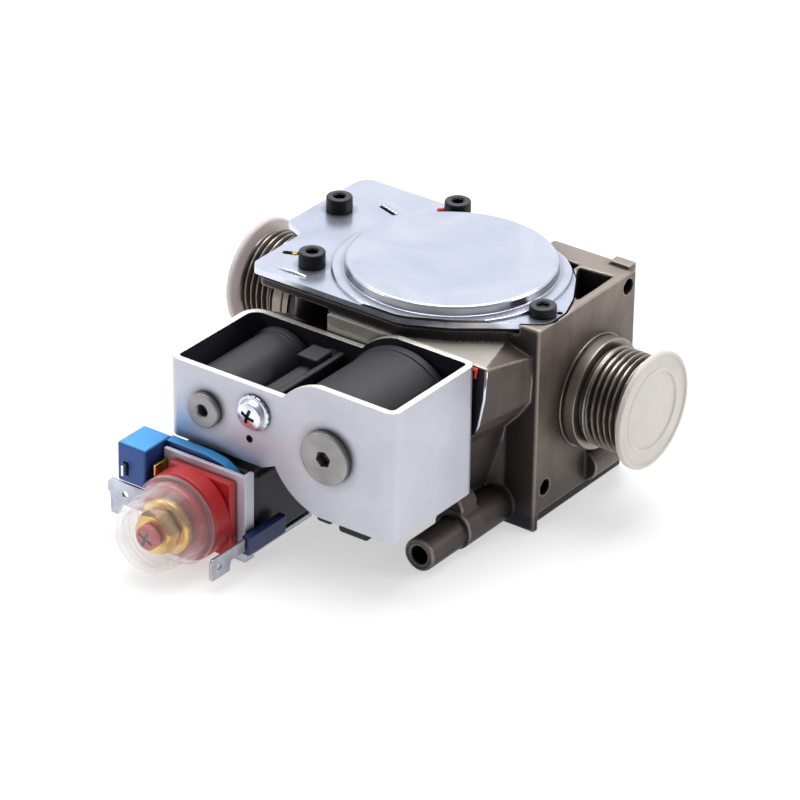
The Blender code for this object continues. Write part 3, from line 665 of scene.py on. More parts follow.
def brass_metal():
    m = Mat("brass_metal", 0.2, 0.9)
    big = m.noise(200, 3)
    fine = m.noise(2600, 2)
    col = m.ramp(big, [(0.3, lin("c99a3a")), (0.7, lin("eac462"))])
    # Painted highlight on edges.
    col = m.mix(m.edge_highlight(0.25, 0.8), col, lin("fbe7a8"))
    # Painted shade: corners and hollows are darkened.
    col = m.mix(m.hide(2.0, 1.2, local=True), lin("4a2c0a"), col)
    m.set(color=col, rough=m.span(fine, 0.16, 0.3))
    m.bump(fine, 0.15, 0.02)
    return m.mat


def plastic(name, a, b, rough=(0.3, 0.42), edge=None, sss=0.0, ao=None, shade="101018", front=None, alpha=None, local=False):
    m = Mat(name, 0.35, 0.0)
    big = m.noise(70, 3)
    fine = m.noise(1500, 2)
    col = m.ramp(big, [(0.3, lin(a)), (0.7, lin(b))])
    # Painted shade: with front given, faces turned to -Y and to +X take that darker colour.
    if front:
        col = m.mix(m.facing((0, -1, 0), 0.3, 0.9), col, lin(front))
        col = m.mix(m.facing((1, 0, 0), 0.5, 0.95), col, lin(front))
    if edge:
        # Painted highlight on edges.
        col = m.mix(m.edge_highlight(0.35, 0.7), col, lin(edge))
    if ao:
        # Painted shade: corners and hollows are darkened.
        col = m.mix(m.hide(ao, 1.3, local=local), lin(shade), col)
    m.set(color=col, rough=m.span(fine, *rough), sss=sss)
    if sss:
        m.s.inputs["Subsurface Scale"].default_value = 0.002
    if alpha:
        m.set(alpha=alpha)
    m.bump(fine, 0.1, 0.03)
    return m.mat


def clear_plastic():
    """Thin clear moulding: see-through face on, milky and glossy at its rims."""
    m = Mat("clear_cap", 0.06, 0.0)
    f = m.noise(500, 3)
    lw = m.n.new("ShaderNodeLayerWeight")
    lw.inputs["Blend"].default_value = 0.35
    a = m.span(m.math("POWER", lw.outputs["Facing"], 2.1), 0.07, 0.9)
    m.set(color=m.ramp(f, [(0.3, lin("efe6ea")), (0.7, lin("ffffff"))]), rough=m.span(f, 0.04, 0.12), alpha=a, spec=1.0)
    m.bump(f, 0.06, 0.04)
    return m.mat


CAST = cast_metal()
MACH = machined()
# Painted light: a lighter copy of the metal colour for the lit ledge faces of the casting.
LIT_LEDGE = machined("ledge_painted_light", "c6c1b7", "b3ada3", 1.6, 0.3, 0.35)
THREAD = machined("thread_metal", "8f857d", "6f665f", 1.5, 0.6)
ZINC = zinc()
BRIGHT = zinc("bright_zinc", "e9edf8", "c3c9da", (0.16, 0.26), 3.0)
SATIN = satin()
INSIDE_SHADE = inside_shade_sheet()
CUT = cut_edge()
OXIDE = black_oxide()
COIL = moulding("coil_moulding", "151417", "201f24", (0.4, 0.58), "36353b", 0.4, ao=9.0, top="2b2a30")
WIND = moulding("winding_tape", "1a1824", "252331", (0.32, 0.46), None, 0.5, ao=4.0)
PLUG = plastic("plug_plastic", "cbc6c0", "d8d3cd", (0.38, 0.5), "e6e2dd", 0.12, 3.0, "8f8a86")
PLUG_IN = plastic("plug_plastic_inlet", "dccfce", "e8dedd", (0.32, 0.45), "f2ecec", 0.2, alpha=0.72)
BRASS = brass_metal()
RED = plastic("red_plastic", "ac2026", "c42c2e", (0.34, 0.46), "d24a48", 0.0, 4.0, "3a0912", local=True)
BLUE = plastic("blue_plastic", "3a98dd", "4bacea", (0.3, 0.42), "7cc8f5", 0.0, 3.0, "0a2148", front="1c4c9c")
NAVY = plastic("blue_plastic_dark", "1d2f5c", "283e74", (0.3, 0.42), "4a66a2", 0.0, 3.0, "0a1024")
CLEAR = clear_plastic()
RUBBER = moulding("black_rubber", "141416", "1e1e21", (0.55, 0.75), None, 0.4)
MESHM = machined("filter_mesh", "b5b2ae", "8d8a86")
STEEL = turned_steel("turned_steel", "8f8c8d", "aaa7a8", (0.28, 0.42), 0.6)
YOKE = zinc("yoke_zinc", "e6e9f3", "c9cedd", (0.3, 0.42), 0.8, metal=0.35)
SPADE = zinc("spade_tin", "b9bcc8", "6f7078", (0.16, 0.3), 1.5)
# Painted reflection: the dome's upright faces are darkened to a grey-brown.
DOMED = zinc("dome_zinc", side="6d6762")
PAINT = plastic("red_paint", "c8232a", "e23a3c", (0.25, 0.4))


def cad(name, mat):
    """A CAD node that stays takes a procedural material."""
    obj = NODES[name]
    for i in range(max(1, len(obj.material_slots))):
        if obj.material_slots:
            obj.material_slots[i].material = mat
        else:
            obj.data.materials.append(mat)


# ----------------------------------------------------------------- shared shapes
def plate_outline(inset=0.0, n=8):
    pts = [(-76.9, -39.6), (-31.5, -39.6), (-20.1, -33.6), (-12.5, -27.8), (-0.6, -19.4), (-0.8, -11.6),
           (-3.5, -4.4), (-9.4, 5.6), (-16.6, 12.2), (-27.1, 17.0), (-42.9, 19.6), (-84.6, 19.8),
           (-86.4, 16.8), (-86.4, -13.6), (-79.2, -16.8), (-79.0, -36.6)]
    rad = [2, 14, 20, 6, 4.5, 4, 10, 10, 10, 12, 8, 3, 3, 2, 2, 3]
    cx, cy = -43.0, -9.0
    k = 1 - inset / 43.4
    ky = 1 - inset / 29.7
    return rounded([(cx + (x - cx) * k, cy + (y - cy) * ky) for x, y in pts], rad, n)


SCREWS = [(-80.0, 0.3, 30.2), (-66.4, -29.3, 30.2), (-54.2, 16.9, 30.2), (-4.9, -15.6, 28.8)]


# ------------------------------------------------------------------- valve body
def remesh(obj, voxel, passes, keep=None):
    mod = obj.modifiers.new("skin", "REMESH")
    mod.mode = "VOXEL"
    mod.voxel_size = voxel * MM
    mod.adaptivity = 0.0
    bake(obj)
    mod = obj.modifiers.new("soften", "SMOOTH")
    mod.factor = 0.5
    mod.iterations = passes
    bake(obj)
    return obj


def build_body():
    body = prism("z", [plate_outline(1.3, 5)], -22.0, 23.4, "body")
    back = [(-54.0, 20.4), (-54.0, -4.0), (-60.0, -10.0), (-60.0, -26.0), (-13.2, -26.0), (-12.3, -18.1), (-10.6, -10.4),
            (-9.4, -3.3), (-5.2, 1.4), (-2.0, 6.0), (-1.7, 12.0), (-2.3, 18.4), (-9.5, 20.4)]
    front = [(-54.0, 20.4), (-54.0, -4.0), (-60.0, -10.0), (-60.0, -26.0), (-15.5, -26.0), (-14.8, -18.1), (-13.6, -10.4),
             (-11.6, -3.3), (-8.6, 0.6), (-7.2, 3.7), (-5.6, 11.8), (-4.9, 20.0), (-5.2, 20.4)]
    cut(body, prism("z", [[(-95.0, -60.0), (-60.0, -60.0), (-60.0, -24.0), (-63.6, -14.5), (-63.6, -4.0), (-95.0, -4.0)]], -23.0, 21.2))
    cut(body, prism("z", [[(-63.0, -60.0), (-54.2, -60.0), (-54.2, -24.0), (-57.5, -14.0), (-64.0, -14.0)]], 2.0, 21.2))
    join(body, loft([(-39.3, front), (-24.1, back), (-12.0, [(x - 0.6, z) for x, z in back])]))
    join(body, prism("x", [[(-39.3, -21.0), (-39.3, 13.0), (-36.0, 13.0), (-24.0, 7.0), (-14.0, 2.0), (-10.0, 2.0), (-10.0, -21.0)]], -76.0, -50.0))
    join(body, cyl("z", SCREWS[1][0], SCREWS[1][1], 2.0, 23.4, 4.2, 40))
    join(body, box(-13.0, 0.0, -24.1, 19.0, FLOOR_Z, 26.2))
    join(body, box(-26.0, -2.0, 12.4, 20.2, -24.0, 26.2))
    join(body, box(-7.0, -1.0, 17.0, 20.5, 18.0, 27.4))
    join(body, box(-76.0, -50.0, -50.6, -30.0, -30.2, -8.0))
    join(body, box(-82.0, -68.0, 6.0, 17.5, FLOOR_Z, -20.0))
    join(body, box(-70.0, -12.0, -20.0, 12.0, -26.5, -20.0))
    join(body, cyl("x", 0.0, 0.0, -89.0, -53.0, 14.2, 64))
    join(body, cyl("x", 0.0, 0.0, -3.0, 4.5, 14.6, 72))
    join(body, cyl("x", 0.0, 0.0, -90.5, -83.0, 14.6, 72))
    join(body, cyl("z", SCREWS[2][0], 16.0, 2.0, 23.4, 4.0, 32))
    join(body, cyl("y", -11.7, -26.4, -57.2, -22.0, 4.4, 40))
    join(body, cyl("y", -11.7, -25.6, -43.0, -22.0, 5.5, 40))
    join(body, cyl("y", -13.6, -20.4, -42.6, -36.0, 4.6, 40))
    join(body, cyl("y", -0.8, -21.6, -1.5, 15.0, 4.4, 40))
    # ribs and lightening pockets on the underside and back, out of the main view
    for y in (-14.0, -2.0):
        cut(body, box(-64.0, -44.0, y, y + 8.0, -40.0, -24.6))
        cut(body, box(-40.0, -18.0, y, y + 8.0, -40.0, -24.6))
    cut(body, prism("z", [[(-2.4, -4.2), (-2.6, 12.2), (-12.4, 11.2), (-9.6, 5.0), (-6.0, -1.0)]], 9.0, 30.0))
    cut(body, box(-2.4, 2.0, -22.0, 30.0, -40.0, -26.4))
    cut(body, cyl("x", 15.6, 22.6, -6.5, 3.0, 2.1, 32))
    cut(body, cyl("x", -19.4, -19.9, -9.0, 3.0, 2.1, 32))
    for sx, sy, top in SCREWS:
        cut(body, cyl("z", sx, sy, 8.0, 40.0, 2.3, 24))
    cut(body, cyl("x", 0.0, 0.0, -12.0, 30.0, 9.5, 64))
    cut(body, cyl("x", 0.0, 0.0, -120.0, -62.0, 9.5, 64))
    cut(body, prism("z", [plate_outline(-0.35, 5)], 23.4, 40.0))
    cut(body, cyl("z", *DOME, 17.0, 40.0, 25.0, 64))
    cut(body, cyl("z", *DOME, 4.0, 20.0, 13.5, 48))
    cut(body, box(-26.0, -9.0, -8.0, 6.0, 3.4, 9.0))
    cut(body, cyl("z", *DOME, -2.0, 6.0, 7.5, 48))
    cut(body, cyl("z", *DOME, -18.0, 0.0, 12.5, 48))
    cut(body, cyl("y", *EV1, -60.0, -30.0, 10.9, 48))
    cut(body, cyl("y", *EV1, -31.0, -24.0, 5.5, 32))
    cut(body, box(-32.5, -22.5, -26.0, -16.0, -12.0, 2.6))
    cut(body, cyl("y", *EV2, -60.0, -32.0, 7.4, 48))
    cut(body, cyl("y", *EV2, -33.0, -26.0, 2.4, 32))
    cut(body, cyl("z", EV2[0], -27.8, -20.0, 5.0, 2.0, 24))
    cut(body, cyl("y", *MOD, -60.0, -25.5, 4.2, 32))
    cut(body, box(-72.0, -30.0, -37.0, -33.2, -6.0, 0.0))
    cut(body, box(-62.0, -55.0, -37.0, 5.0, -6.0, 0.0))
    cut(body, cyl("y", -50.0, 8.5, -50.0, -26.0, 2.4, 24))
    cut(body, cyl("y", -11.7, -26.4, -60.0, -40.0, 2.5, 32))
    remesh(body, 0.36, 3)
    obj = piece("body_casting", body, CAST, "valve", "valve_body", smooth=180, extra=(LIT_LEDGE,))
    # Painted light: the ledge tops and a strip of front face above the bracket take the lighter ledge colour.
    paint(obj, 1, lambda c, n: (n.z > 0.8 and 19.6 < c.z < 20.9 and c.y < -10 and c.x < -5.5 - (c.y + 39.3) * 0.283)
          or (n.y < -0.5 and c.y < -38.9 and c.x < -36.0 and c.z > 15.4))
    # Painted highlight: a thin bright tube along the flank's front edge stands in for the light line there.
    bead = tube([(-5.2, -39.15, 19.6), (-5.7, -39.15, 11.8), (-7.2, -39.15, 3.9), (-8.4, -39.15, 1.0)], 0.38, rings=4)
    piece("flank_edge_highlight", bead, BRIGHT, "valve", (), smooth=180)
    # Painted highlight: a thin light tube along the ridge on the flank stands in for the light line there.
    line = tube([(-2.3, -24.3, 17.6), (-1.8, -24.3, 12.0), (-2.1, -24.3, 6.2), (-5.3, -24.3, 1.5), (-9.4, -24.3, -3.1), (-10.7, -24.3, -10.4),
                 (-12.3, -24.3, -18.0)], 0.42, rings=4)
    piece("flank_ridge_highlight", line, MACH, "valve", (), smooth=180)
    return obj


def thread_rod(r, depth, pitch, s0, s1, inner, seg=72, lead=1.6, root=0.35, crest=0.3):
    """Outside thread along local Z as a height field wound on a cylinder, fading
    out at both ends, with a chamfered open end at s1."""
    rows = max(8, int((s1 - s0) / pitch * 14))
    verts, faces = [], []
    for i in range(rows + 1):
        s = s0 + (s1 - s0) * i / rows
        for k in range(seg):
            a = 2 * math.pi * k / seg
            ph = ((s - pitch * k / seg) / pitch) % 1.0
            d = abs(ph - 0.5) * 2          # 0 at the crest, 1 at the root
            h = min(1.0, max(0.0, (d - crest * 0.5) / (1 - crest * 0.5 - root * 0.5)))
            fade = min(1.0, max(0.0, (s - s0) / (pitch * 0.6)))
            end = max(0.0, (s - (s1 - lead)) / lead)
            rr = r - depth * h * fade - depth * 1.05 * end * (1 - h) * end
            verts.append((rr * math.cos(a) * MM, rr * math.sin(a) * MM, s * MM))
    for i in range(rows):
        for k in range(seg):
            a, b = i * seg + k, i * seg + (k + 1) % seg
            faces.append((a, b, b + seg, a + seg))
    mesh = bpy.data.meshes.new("thread")
    mesh.from_pydata(verts, [], faces)
    obj = link(bpy.data.objects.new("thread", mesh))
    bm = bmesh.new()
    bm.from_mesh(mesh)
    # close both ends down to the bore
    for s, ring in ((s1, rows), (s0, 0)):
        loop = [bm.verts[:][ring * seg + k] for k in range(seg)]
        inner_ring = [bm.verts.new((inner * math.cos(2 * math.pi * k / seg) * MM, inner * math.sin(2 * math.pi * k / seg) * MM, s * MM)) for k in range(seg)]
        for k in range(seg):
            j = (k + 1) % seg
            bm.faces.new((loop[k], loop[j], inner_ring[j], inner_ring[k]))
        if ring == rows:
            top = inner_ring
        else:
            low = inner_ring
    for k in range(seg):
        j = (k + 1) % seg
        bm.faces.new((top[k], top[j], low[j], low[k]))
    bmesh.ops.recalc_face_normals(bm, faces=bm.faces)
    bm.to_mesh(mesh)
    bm.free()
    return obj


def build_ports():
    for name, mirror in (("outlet", None), ("inlet", MIRROR_X)):
        seg = 96
        t = turn_to(thread_rod(13.22, 1.16, 1.814, 6.3, 17.2, 9.55, seg), "x")
        if mirror is not None:
            t.data.transform(Matrix.Translation((2 * mirror * MM, 0, 0)) @ Matrix.Rotation(math.pi, 4, "Y"))
        piece(name + "_thread", t, THREAD, "valve", "valve_body", smooth=40)
        prof = [(9.55, 6.9)] + fillet([(12.2, 6.9), (12.0, 6.2), (12.0, 4.6), (14.75, 4.6), (14.75, 1.7), (13.6, 1.5), (13.6, 1.0), (15.2, 1.0), (15.2, -0.6)], 0.25, 3) + [(9.55, -0.6)]
        ring = turned("x", 0, 0, prof, 128, mirror=mirror)
        piece(name + "_collar", ring, MACH, "valve", "valve_body")


# ------------------------------------------------------------------ cover plate
def build_plate():
    plate = prism("z", [plate_outline(0.0, 10)], 24.7, 26.2, "plate")
    for sx, sy, top in SCREWS:
        cut(plate, cyl("z", sx, sy, 20.0, 27.8, 2.25, 32))
    cut(plate, cyl("z", *DOME, 20.0, 30.0, 26.4, 128))
    slot = rounded([(-2.3, -0.95), (2.3, -0.95), (2.3, 0.95), (-2.3, 0.95)], 0.9, 6)
    turn = math.radians(22)
    cut(plate, prism("z", [[(-74.6 + u * math.cos(turn) - v * math.sin(turn), -27.3 + u * math.sin(turn) + v * math.cos(turn)) for u, v in slot]], 20.0, 30.0))
    slot = [(-3.1, -0.35), (3.1, -0.35), (3.1, 0.35), (-3.1, 0.35)]
    turn = math.radians(-18)
    cut(plate, prism("z", [[(-69.8 + u * math.cos(turn) - v * math.sin(turn), 7.2 + u * math.sin(turn) + v * math.cos(turn)) for u, v in slot]], 20.0, 30.0))
    cut(plate, cyl("z", -1.7, -12.8, 20.0, 30.0, 0.8, 16))
    bevel(plate, 0.22, 3, 40)
    outer = fillet([(0.0, 29.4), (20.0, 29.4), (26.9, 29.4), (27.35, 26.95), (30.3, 26.95), (30.7, 26.1)], [0, 0, 0.8, 0.35, 0.4, 0], 8)
    inner = [(30.2, 25.9), (26.7, 25.2)] + fillet([(26.4, 25.2), (26.2, 28.2), (0.0, 28.2)], 1.2, 5)[1:]
    dome = turned("z", *DOME, outer + inner, 160)
    # the ring round the dome stays clear of the outlet corner of the sheet
    op(dome, prism("z", [plate_outline(0.15, 10)], 20.0, 35.0), "INTERSECT")
    piece("cover_plate_sheet", plate, ZINC, "valve", "cover_plate")
    piece("cover_dome", dome, DOMED, "valve", "cover_plate", smooth=50)
    # stamped louver lip, stiffening bead and the pin in its slot
    turn = math.radians(-18)
    for k in range(5):
        u = -2.6 + 1.3 * k
        cx, cy = -69.8 + u * math.cos(turn) + 0.75 * math.sin(-turn), 7.2 + u * math.sin(turn) + 0.75 * math.cos(turn)
        lip = box(-0.55, 0.55, -0.4, 0.4, -0.25, 0.45, 0.2, 3)
        lip.data.transform(Matrix.Translation(Vector((cx, cy, 26.2)) * MM) @ Matrix.Rotation(turn, 4, "Z"))
        piece("louver_%d" % k, lip, BRIGHT, "valve", "cover_plate")
    pts = [(-72.3 + 8.8 * i / 10, -35.75 + 0.1 * i / 10, 25.95 + 0.28 * math.sin(math.pi * i / 10)) for i in range(11)]
    piece("bead_ridge", tube(pts, 0.6), BRIGHT, "valve", "cover_plate", smooth=60)
    bit = turned("z", -73.7, -27.0, fillet([(0.0, 26.5), (0.7, 26.5), (0.8, 24.9), (0.0, 24.9)], 0.2), 32)
    piece("cover_pin", bit, BRASS, "valve", ())


def cap_screw(i, x, y, top):
    seat = 26.5
    r = 3.5
    rows = fillet([(0.0, top), (r - 0.05, top), (r, seat), (1.9, seat)], [0, 0.45, 0.15, 0], 4) + [(1.9, 11.0), (0.0, 11.0)]
    head = turned("z", x, y, rows, 72)
    cut(head, prism("z", [hexagon(x, y, 3.0, 12)], seat + 1.3, top + 1))
    cut(head, cyl("z", x, y, top - 0.35, top + 0.01, 1.55, 36, 1.95))
    # walk the side of the head; the loop changes nothing, so the head has no knurl
    for v in head.data.vertices:
        p = Vector((v.co.x / MM - x, v.co.y / MM - y))
        z = v.co.z / MM
        if p.length > r - 0.05 and seat + 0.3 < z < top - 0.4:
            pass
    piece("cover_screw_head_%d" % i, head, OXIDE, "valve", "cover_screw_%d" % i)


# ----------------------------------------------------------------- coil bracket
BX, BY, BT = (-77.3, -7.5), (-74.0, -39.7), 1.8


def build_bracket():
    x0, x1 = BX
    y0, y1 = BY
    pts = [(x0, 15.5), (x0, -6.3), (-47.7, -6.4)]
    pts += arc(EV1[0], EV1[1], 18.3, 207, 262, 22)
    pts += [(x1, -14.3), (x1, 21.6)]
    pts += arc(EV1[0], EV1[1], 18.3, 100, 139.5, 16)
    sheet = prism("z", [rounded([(x0, y0), (x1, y0), (x1, y1), (x0, y1)], [3.0, 3.0, 3.0, 5.0], 10),
                        rounded([(x0 + BT, y0 + BT), (x1 - BT, y0 + BT), (x1 - BT, y1 - BT), (x0 + BT, y1 - BT)], [1.2, 1.2, 1.2, 3.2], 10)],
                  -14.4, 21.8, "bracket")
    op(sheet, prism("y", [pts], y0 - 5, y1 + 5), "INTERSECT")
    cut(sheet, cyl("y", *EV1, y0 - 4, y0 + 6, 4.5, 40), cyl("y", *EV1, y1 - 6, y1 + 4, 6.4, 48))
    cut(sheet, cyl("y", *EV2, y0 - 4, y0 + 6, 2.6, 32), cyl("y", *EV2, y1 - 6, y1 + 4, 4.4, 48))
    cut(sheet, cyl("y", -50.0, 8.5, y0 - 4, y1 + 4, 2.3, 32))
    cut(sheet, cyl("y", -51.7, 0.4, y0 - 4, y0 + 6, 1.0, 32))
    bevel(sheet, 0.16, 2, 50)
    obj = piece("coil_bracket_sheet", sheet, SATIN, "valve", "coil_bracket", smooth=38, extra=(CUT, INSIDE_SHADE))

    def edge(c, n):
        if (c.x + 51.7) ** 2 + (c.z - 0.4) ** 2 < 1.7:
            return False
        if abs(n.z) > 0.6 and abs(n.y) < 0.5:
            return True
        inside = x0 + 0.15 < c.x < x1 - 0.15 and y0 + 0.12 < c.y < y1 - 0.12
        skin = (c.y < y0 + BT - 0.12 or c.y > y1 - BT + 0.12 or c.x < x0 + BT - 0.12 or c.x > x1 - BT + 0.12)
        return inside and skin and abs(n.y) < 0.75 and abs(n.x) < 0.97 and (abs(n.z) > 0.25)
    mid = Vector(((x0 + x1) / 2, (y0 + y1) / 2))

    def inner(c, n):
        if (c.x + 51.7) ** 2 + (c.z - 0.4) ** 2 < 1.7 and abs(n.y) < 0.5:
            return True
        if abs(n.z) > 0.5:
            return False
        deep = x0 + BT - 0.3 < c.x < x1 - BT + 0.3 and y0 + BT - 0.3 < c.y < y1 - BT + 0.3
        return deep and (mid - Vector((c.x, c.y))).dot(Vector((n.x, n.y))) > 0
    # Painted shade: the inner faces of the bracket and the wall of its small hole take the dark inside colour.
    paint(obj, 2, inner)
    paint(obj, 1, edge)
    mark = tube([(-7.4, -41.9, 21.0), (-7.2, -40.6, 20.3), (-8.0, -39.75, 18.6), (-8.2, -39.7, 17.2)], 0.42, rings=3)
    piece("paint_mark_bracket", mark, PAINT, "valve", (), smooth=180)
    mark = tube([(-59.6, 15.6, 26.25), (-58.4, 16.0, 26.45), (-57.6, 16.2, 26.9)], 0.5, rings=3)
    piece("paint_mark_cover", mark, PAINT, "valve", (), smooth=180)


def build_coils():
    for tag, (x, z), rc, rt in (("ev1", EV1, 17.0, 5.9), ("ev2", EV2, 9.7, 3.9)):
        y0, y1 = -71.6, -42.6
        prof = fillet([(rt + 0.35, y1), (rc, y1), (rc, y1 - 2.4), (rc - 0.5, y1 - 2.7), (rc - 0.5, y0 + 2.7), (rc, y0 + 2.4), (rc, y0), (rt + 0.35, y0)], 0.5, 4)
        coil = turned("y", x, z, prof, 128)
        if tag == "ev1":
            merge(coil, box(-28.0, -19.0, -69.0, -58.0, -20.0, -11.0, 0.9, 3), box(-33.0, -28.4, -71.4, -66.0, -17.5, -10.5, 0.9, 3))
        piece(tag + "_coil_moulding", coil, COIL, "valve", tag + "_coil", smooth=40)
    prof = fillet([(2.4, -41.9), (4.4, -41.9), (4.4, -44.6), (3.9, -45.0), (3.9, -68.8), (4.4, -69.2), (4.4, -71.8), (2.4, -71.8)], 0.4, 4)
    post = turned("y", -50.0, 8.5, prof, 64)
    merge(post, box(-53.2, -47.0, -53.0, -46.0, 11.0, 15.0, 0.6, 3), box(-46.8, -45.0, -70.0, -43.4, 9.0, 13.8, 0.5, 3))
    piece("coil_spacer_post", post, COIL, "valve", "coil_spacer", smooth=40)


def build_front_screws():
    for tag, (x, z), rd, hexa, mat in (("ev1", EV1, 7.15, 4.0, STEEL), ("ev2", EV2, 4.75, 3.0, STEEL)):
        prof = [(0.0, -61.6), (3.0, -61.6), (3.0, -74.3), (rd, -74.3)] + fillet([(rd, -74.3), (rd, -75.9), (rd - 0.9, -75.9), (0.0, -75.9)], [0, 0.5, 0, 0], 5)[1:]
        if tag == "ev2":
            prof = prof[:-1] + [(hexa / 2 + 0.45, -75.9), (hexa / 2 + 0.1, -75.5), (hexa / 2 + 0.1, -73.6), (0.0, -73.4)]
        disc = turned("y", x, z, prof, 96)
        if tag == "ev1":
            cut(disc, prism("y", [hexagon(x, z, hexa, 15)], -80.0, -73.6))
        obj = piece(tag + "_core_disc", disc, mat, "valve", tag + "_core_screw", smooth=30)
    # domed cross-head screw on a serrated washer
    prof = [(0.0, -60.0), (1.9, -60.0), (1.9, -74.2), (4.85, -74.2)] + fillet([(4.85, -74.2), (4.8, -74.9), (4.0, -75.0), (3.95, -75.3), (3.5, -76.6), (0.0, -77.4)], 0.35, 4)[1:]
    pan = turned("y", -50.0, 8.5, prof, 72)
    for turn in (20, 110):
        b = box(-0.5, 0.5, -78.5, -75.6, -2.1, 2.1, 0.15, 1)
        b.data.transform(Matrix.Translation(Vector((-50.0, 0, 8.5)) * MM) @ Matrix.Rotation(math.radians(turn), 4, "Y"))
        cut(pan, b)
    for k in range(18):
        a = 2 * math.pi * k / 18
        n = cyl("y", -50.0 + 4.85 * math.cos(a), 8.5 + 4.85 * math.sin(a), -75.2, -74.0, 0.25, 8)
        cut(pan, n)
    piece("bracket_pan_screw", pan, BRIGHT, "valve", "bracket_screw", smooth=30)


# -------------------------------------------------------------------- modulator
def build_modulator():
    mx, mz = MOD
    f = box(-74.0, -48.4, -80.0, -78.8, FLOOR_Z, -6.9)
    join(f, box(-49.6, -48.4, -79.4, -76.4, FLOOR_Z, -6.9))
    join(f, box(-73.6, -49.4, -79.4, -51.2, FLOOR_Z, FLOOR_Z + 1.2))
    join(f, box(-73.6, -49.4, -52.4, -51.2, FLOOR_Z, -9.4))
    cut(f, cyl("y", mx, mz, -90.0, -78.0, 5.2, 48))
    cut(f, cyl("y", mx, mz, -55.0, -50.0, 4.6, 48))
    bevel(f, 0.25, 3, 40)
    yoke = piece("modulator_yoke", f, YOKE, "valve", "modulator_frame")
    for v in yoke.data.vertices:
        v.co.z = max(v.co.z, 0.0)

    c = box(-74.6, -49.2, -75.0, -52.8, -29.5, -8.6, 1.6, 5)
    cut(c, cyl("y", mx, mz, -80.0, -45.0, 5.3, 48))
    piece("modulator_winding", c, WIND, "valve", "modulator_coil", smooth=50)

    top = [(-75.2, -5.6), (-62.0, -5.6), (-57.0, -6.4), (-53.8, -8.4), (-51.5, -11.4), (-50.6, -14.0), (-50.6, -29.4), (-75.2, -29.4)]
    b = prism("y", [rounded(top, [0.6, 8, 6, 6, 4, 3, 1, 1], 6)], -78.4, -75.4)
    cut(b, cyl("y", mx, mz, -90.0, -70.0, 5.3, 48))
    bevel(b, 0.25, 3, 40)
    h = box(-83.4, -74.4, -87.0, -76.2, -16.2, -5.2, 0.7, 4)
    cut(h, box(-81.5, -79.7, -90.0, -79.5, -14.1, -10.1))
    piece("modulator_flange", b, BLUE, "valve", "modulator_bobbin")
    piece("terminal_housing", h, BLUE, "valve", "modulator_bobbin", smooth=40)

    base = box(-70.8, -50.9, -82.6, -80.3, -29.8, -8.6, 0.6, 3)
    cut(base, cyl("y", mx, mz, -95.0, -75.0, 5.4, 64))
    prof = [(5.4, -82.0)] + fillet([(11.0, -82.0), (11.2, -82.9), (11.9, -83.2), (11.9, -88.0), (11.2, -88.5), (9.6, -88.5), (9.6, -91.2), (5.4, -91.2)], 0.45, 4)
    ring = turned("y", mx, mz, prof, 128)
    piece("modulator_base_plate", base, RED, "valve", "modulator_base", smooth=40)
    piece("modulator_base_ring", ring, RED, "valve", "modulator_base", smooth=45)

    seat = turned("y", mx, mz, [(3.2, -84.9)] + fillet([(4.95, -84.9), (4.95, -92.3), (7.4, -92.3), (7.4, -94.1), (6.8, -94.7), (3.2, -94.7)], [0, 0.2, 0.3, 0.3, 0.3, 0], 4), 96)
    piece("brass_ring", seat, BRASS, "valve", "max_pressure_seat")
    nut = prism("y", [hexagon(mx, mz, 10.0, 12)], -99.4, -95.0)
    lim = turned("y", mx, mz, [(0.0, -94.6), (5.2, -94.6), (5.9, -95.4), (5.9, -98.6), (5.0, -99.6), (0.0, -99.6)], 96)
    op(nut, lim, "INTERSECT")
    join(nut, cyl("y", mx, mz, -95.5, -87.0, 3.0, 40))
    cut(nut, cyl("y", mx, mz, -110.0, -80.0, 1.7, 40), cyl("y", mx, mz, -99.41, -98.7, 2.6, 40, 1.7))
    bevel(nut, 0.12, 2, 25)
    piece("max_pressure_hex", nut, BRASS, "max_nut", "max_pressure_nut")
    s = turned("y", mx, mz, [(0.0, -91.0), (1.35, -91.0), (1.35, -99.7)] + fillet([(3.2, -99.7), (3.2, -101.6), (2.5, -101.9), (0.0, -101.9)], 0.3, 4), 64)
    for turn in (25, 115):
        b = box(-0.42, 0.42, -103.0, -101.0, -2.3, 2.3)
        b.data.transform(Matrix.Translation(Vector((mx, 0, mz)) * MM) @ Matrix.Rotation(math.radians(turn), 4, "Y"))
        cut(s, b)
    piece("min_pressure_head", s, RED, "min_screw", "min_pressure_screw", smooth=40)

    outer = fillet([(9.95, -88.75), (11.5, -88.75), (11.8, -89.2), (11.8, -90.7), (10.8, -91.3), (10.5, -92.4), (9.9, -98.0),
                    (9.4, -98.7), (9.2, -99.6), (9.2, -102.2), (7.6, -104.0), (0.0, -104.1)], [0, 0.3, 0.3, 0.4, 0.4, 0.5, 0.5, 0.4, 0.4, 1.2, 2.0, 0], 5)
    inner = fillet([(0.0, -103.0), (6.6, -102.95), (8.1, -101.6), (8.2, -98.4), (8.9, -97.4), (9.5, -91.9), (9.95, -91.4)], [0, 1.2, 0.8, 0.6, 0.6, 0.5, 0], 5)
    cap = turned("y", mx, mz, outer + inner, 128)
    piece("clear_cap_shell", cap, CLEAR, "clear_cap", "modulator_cap", smooth=60)

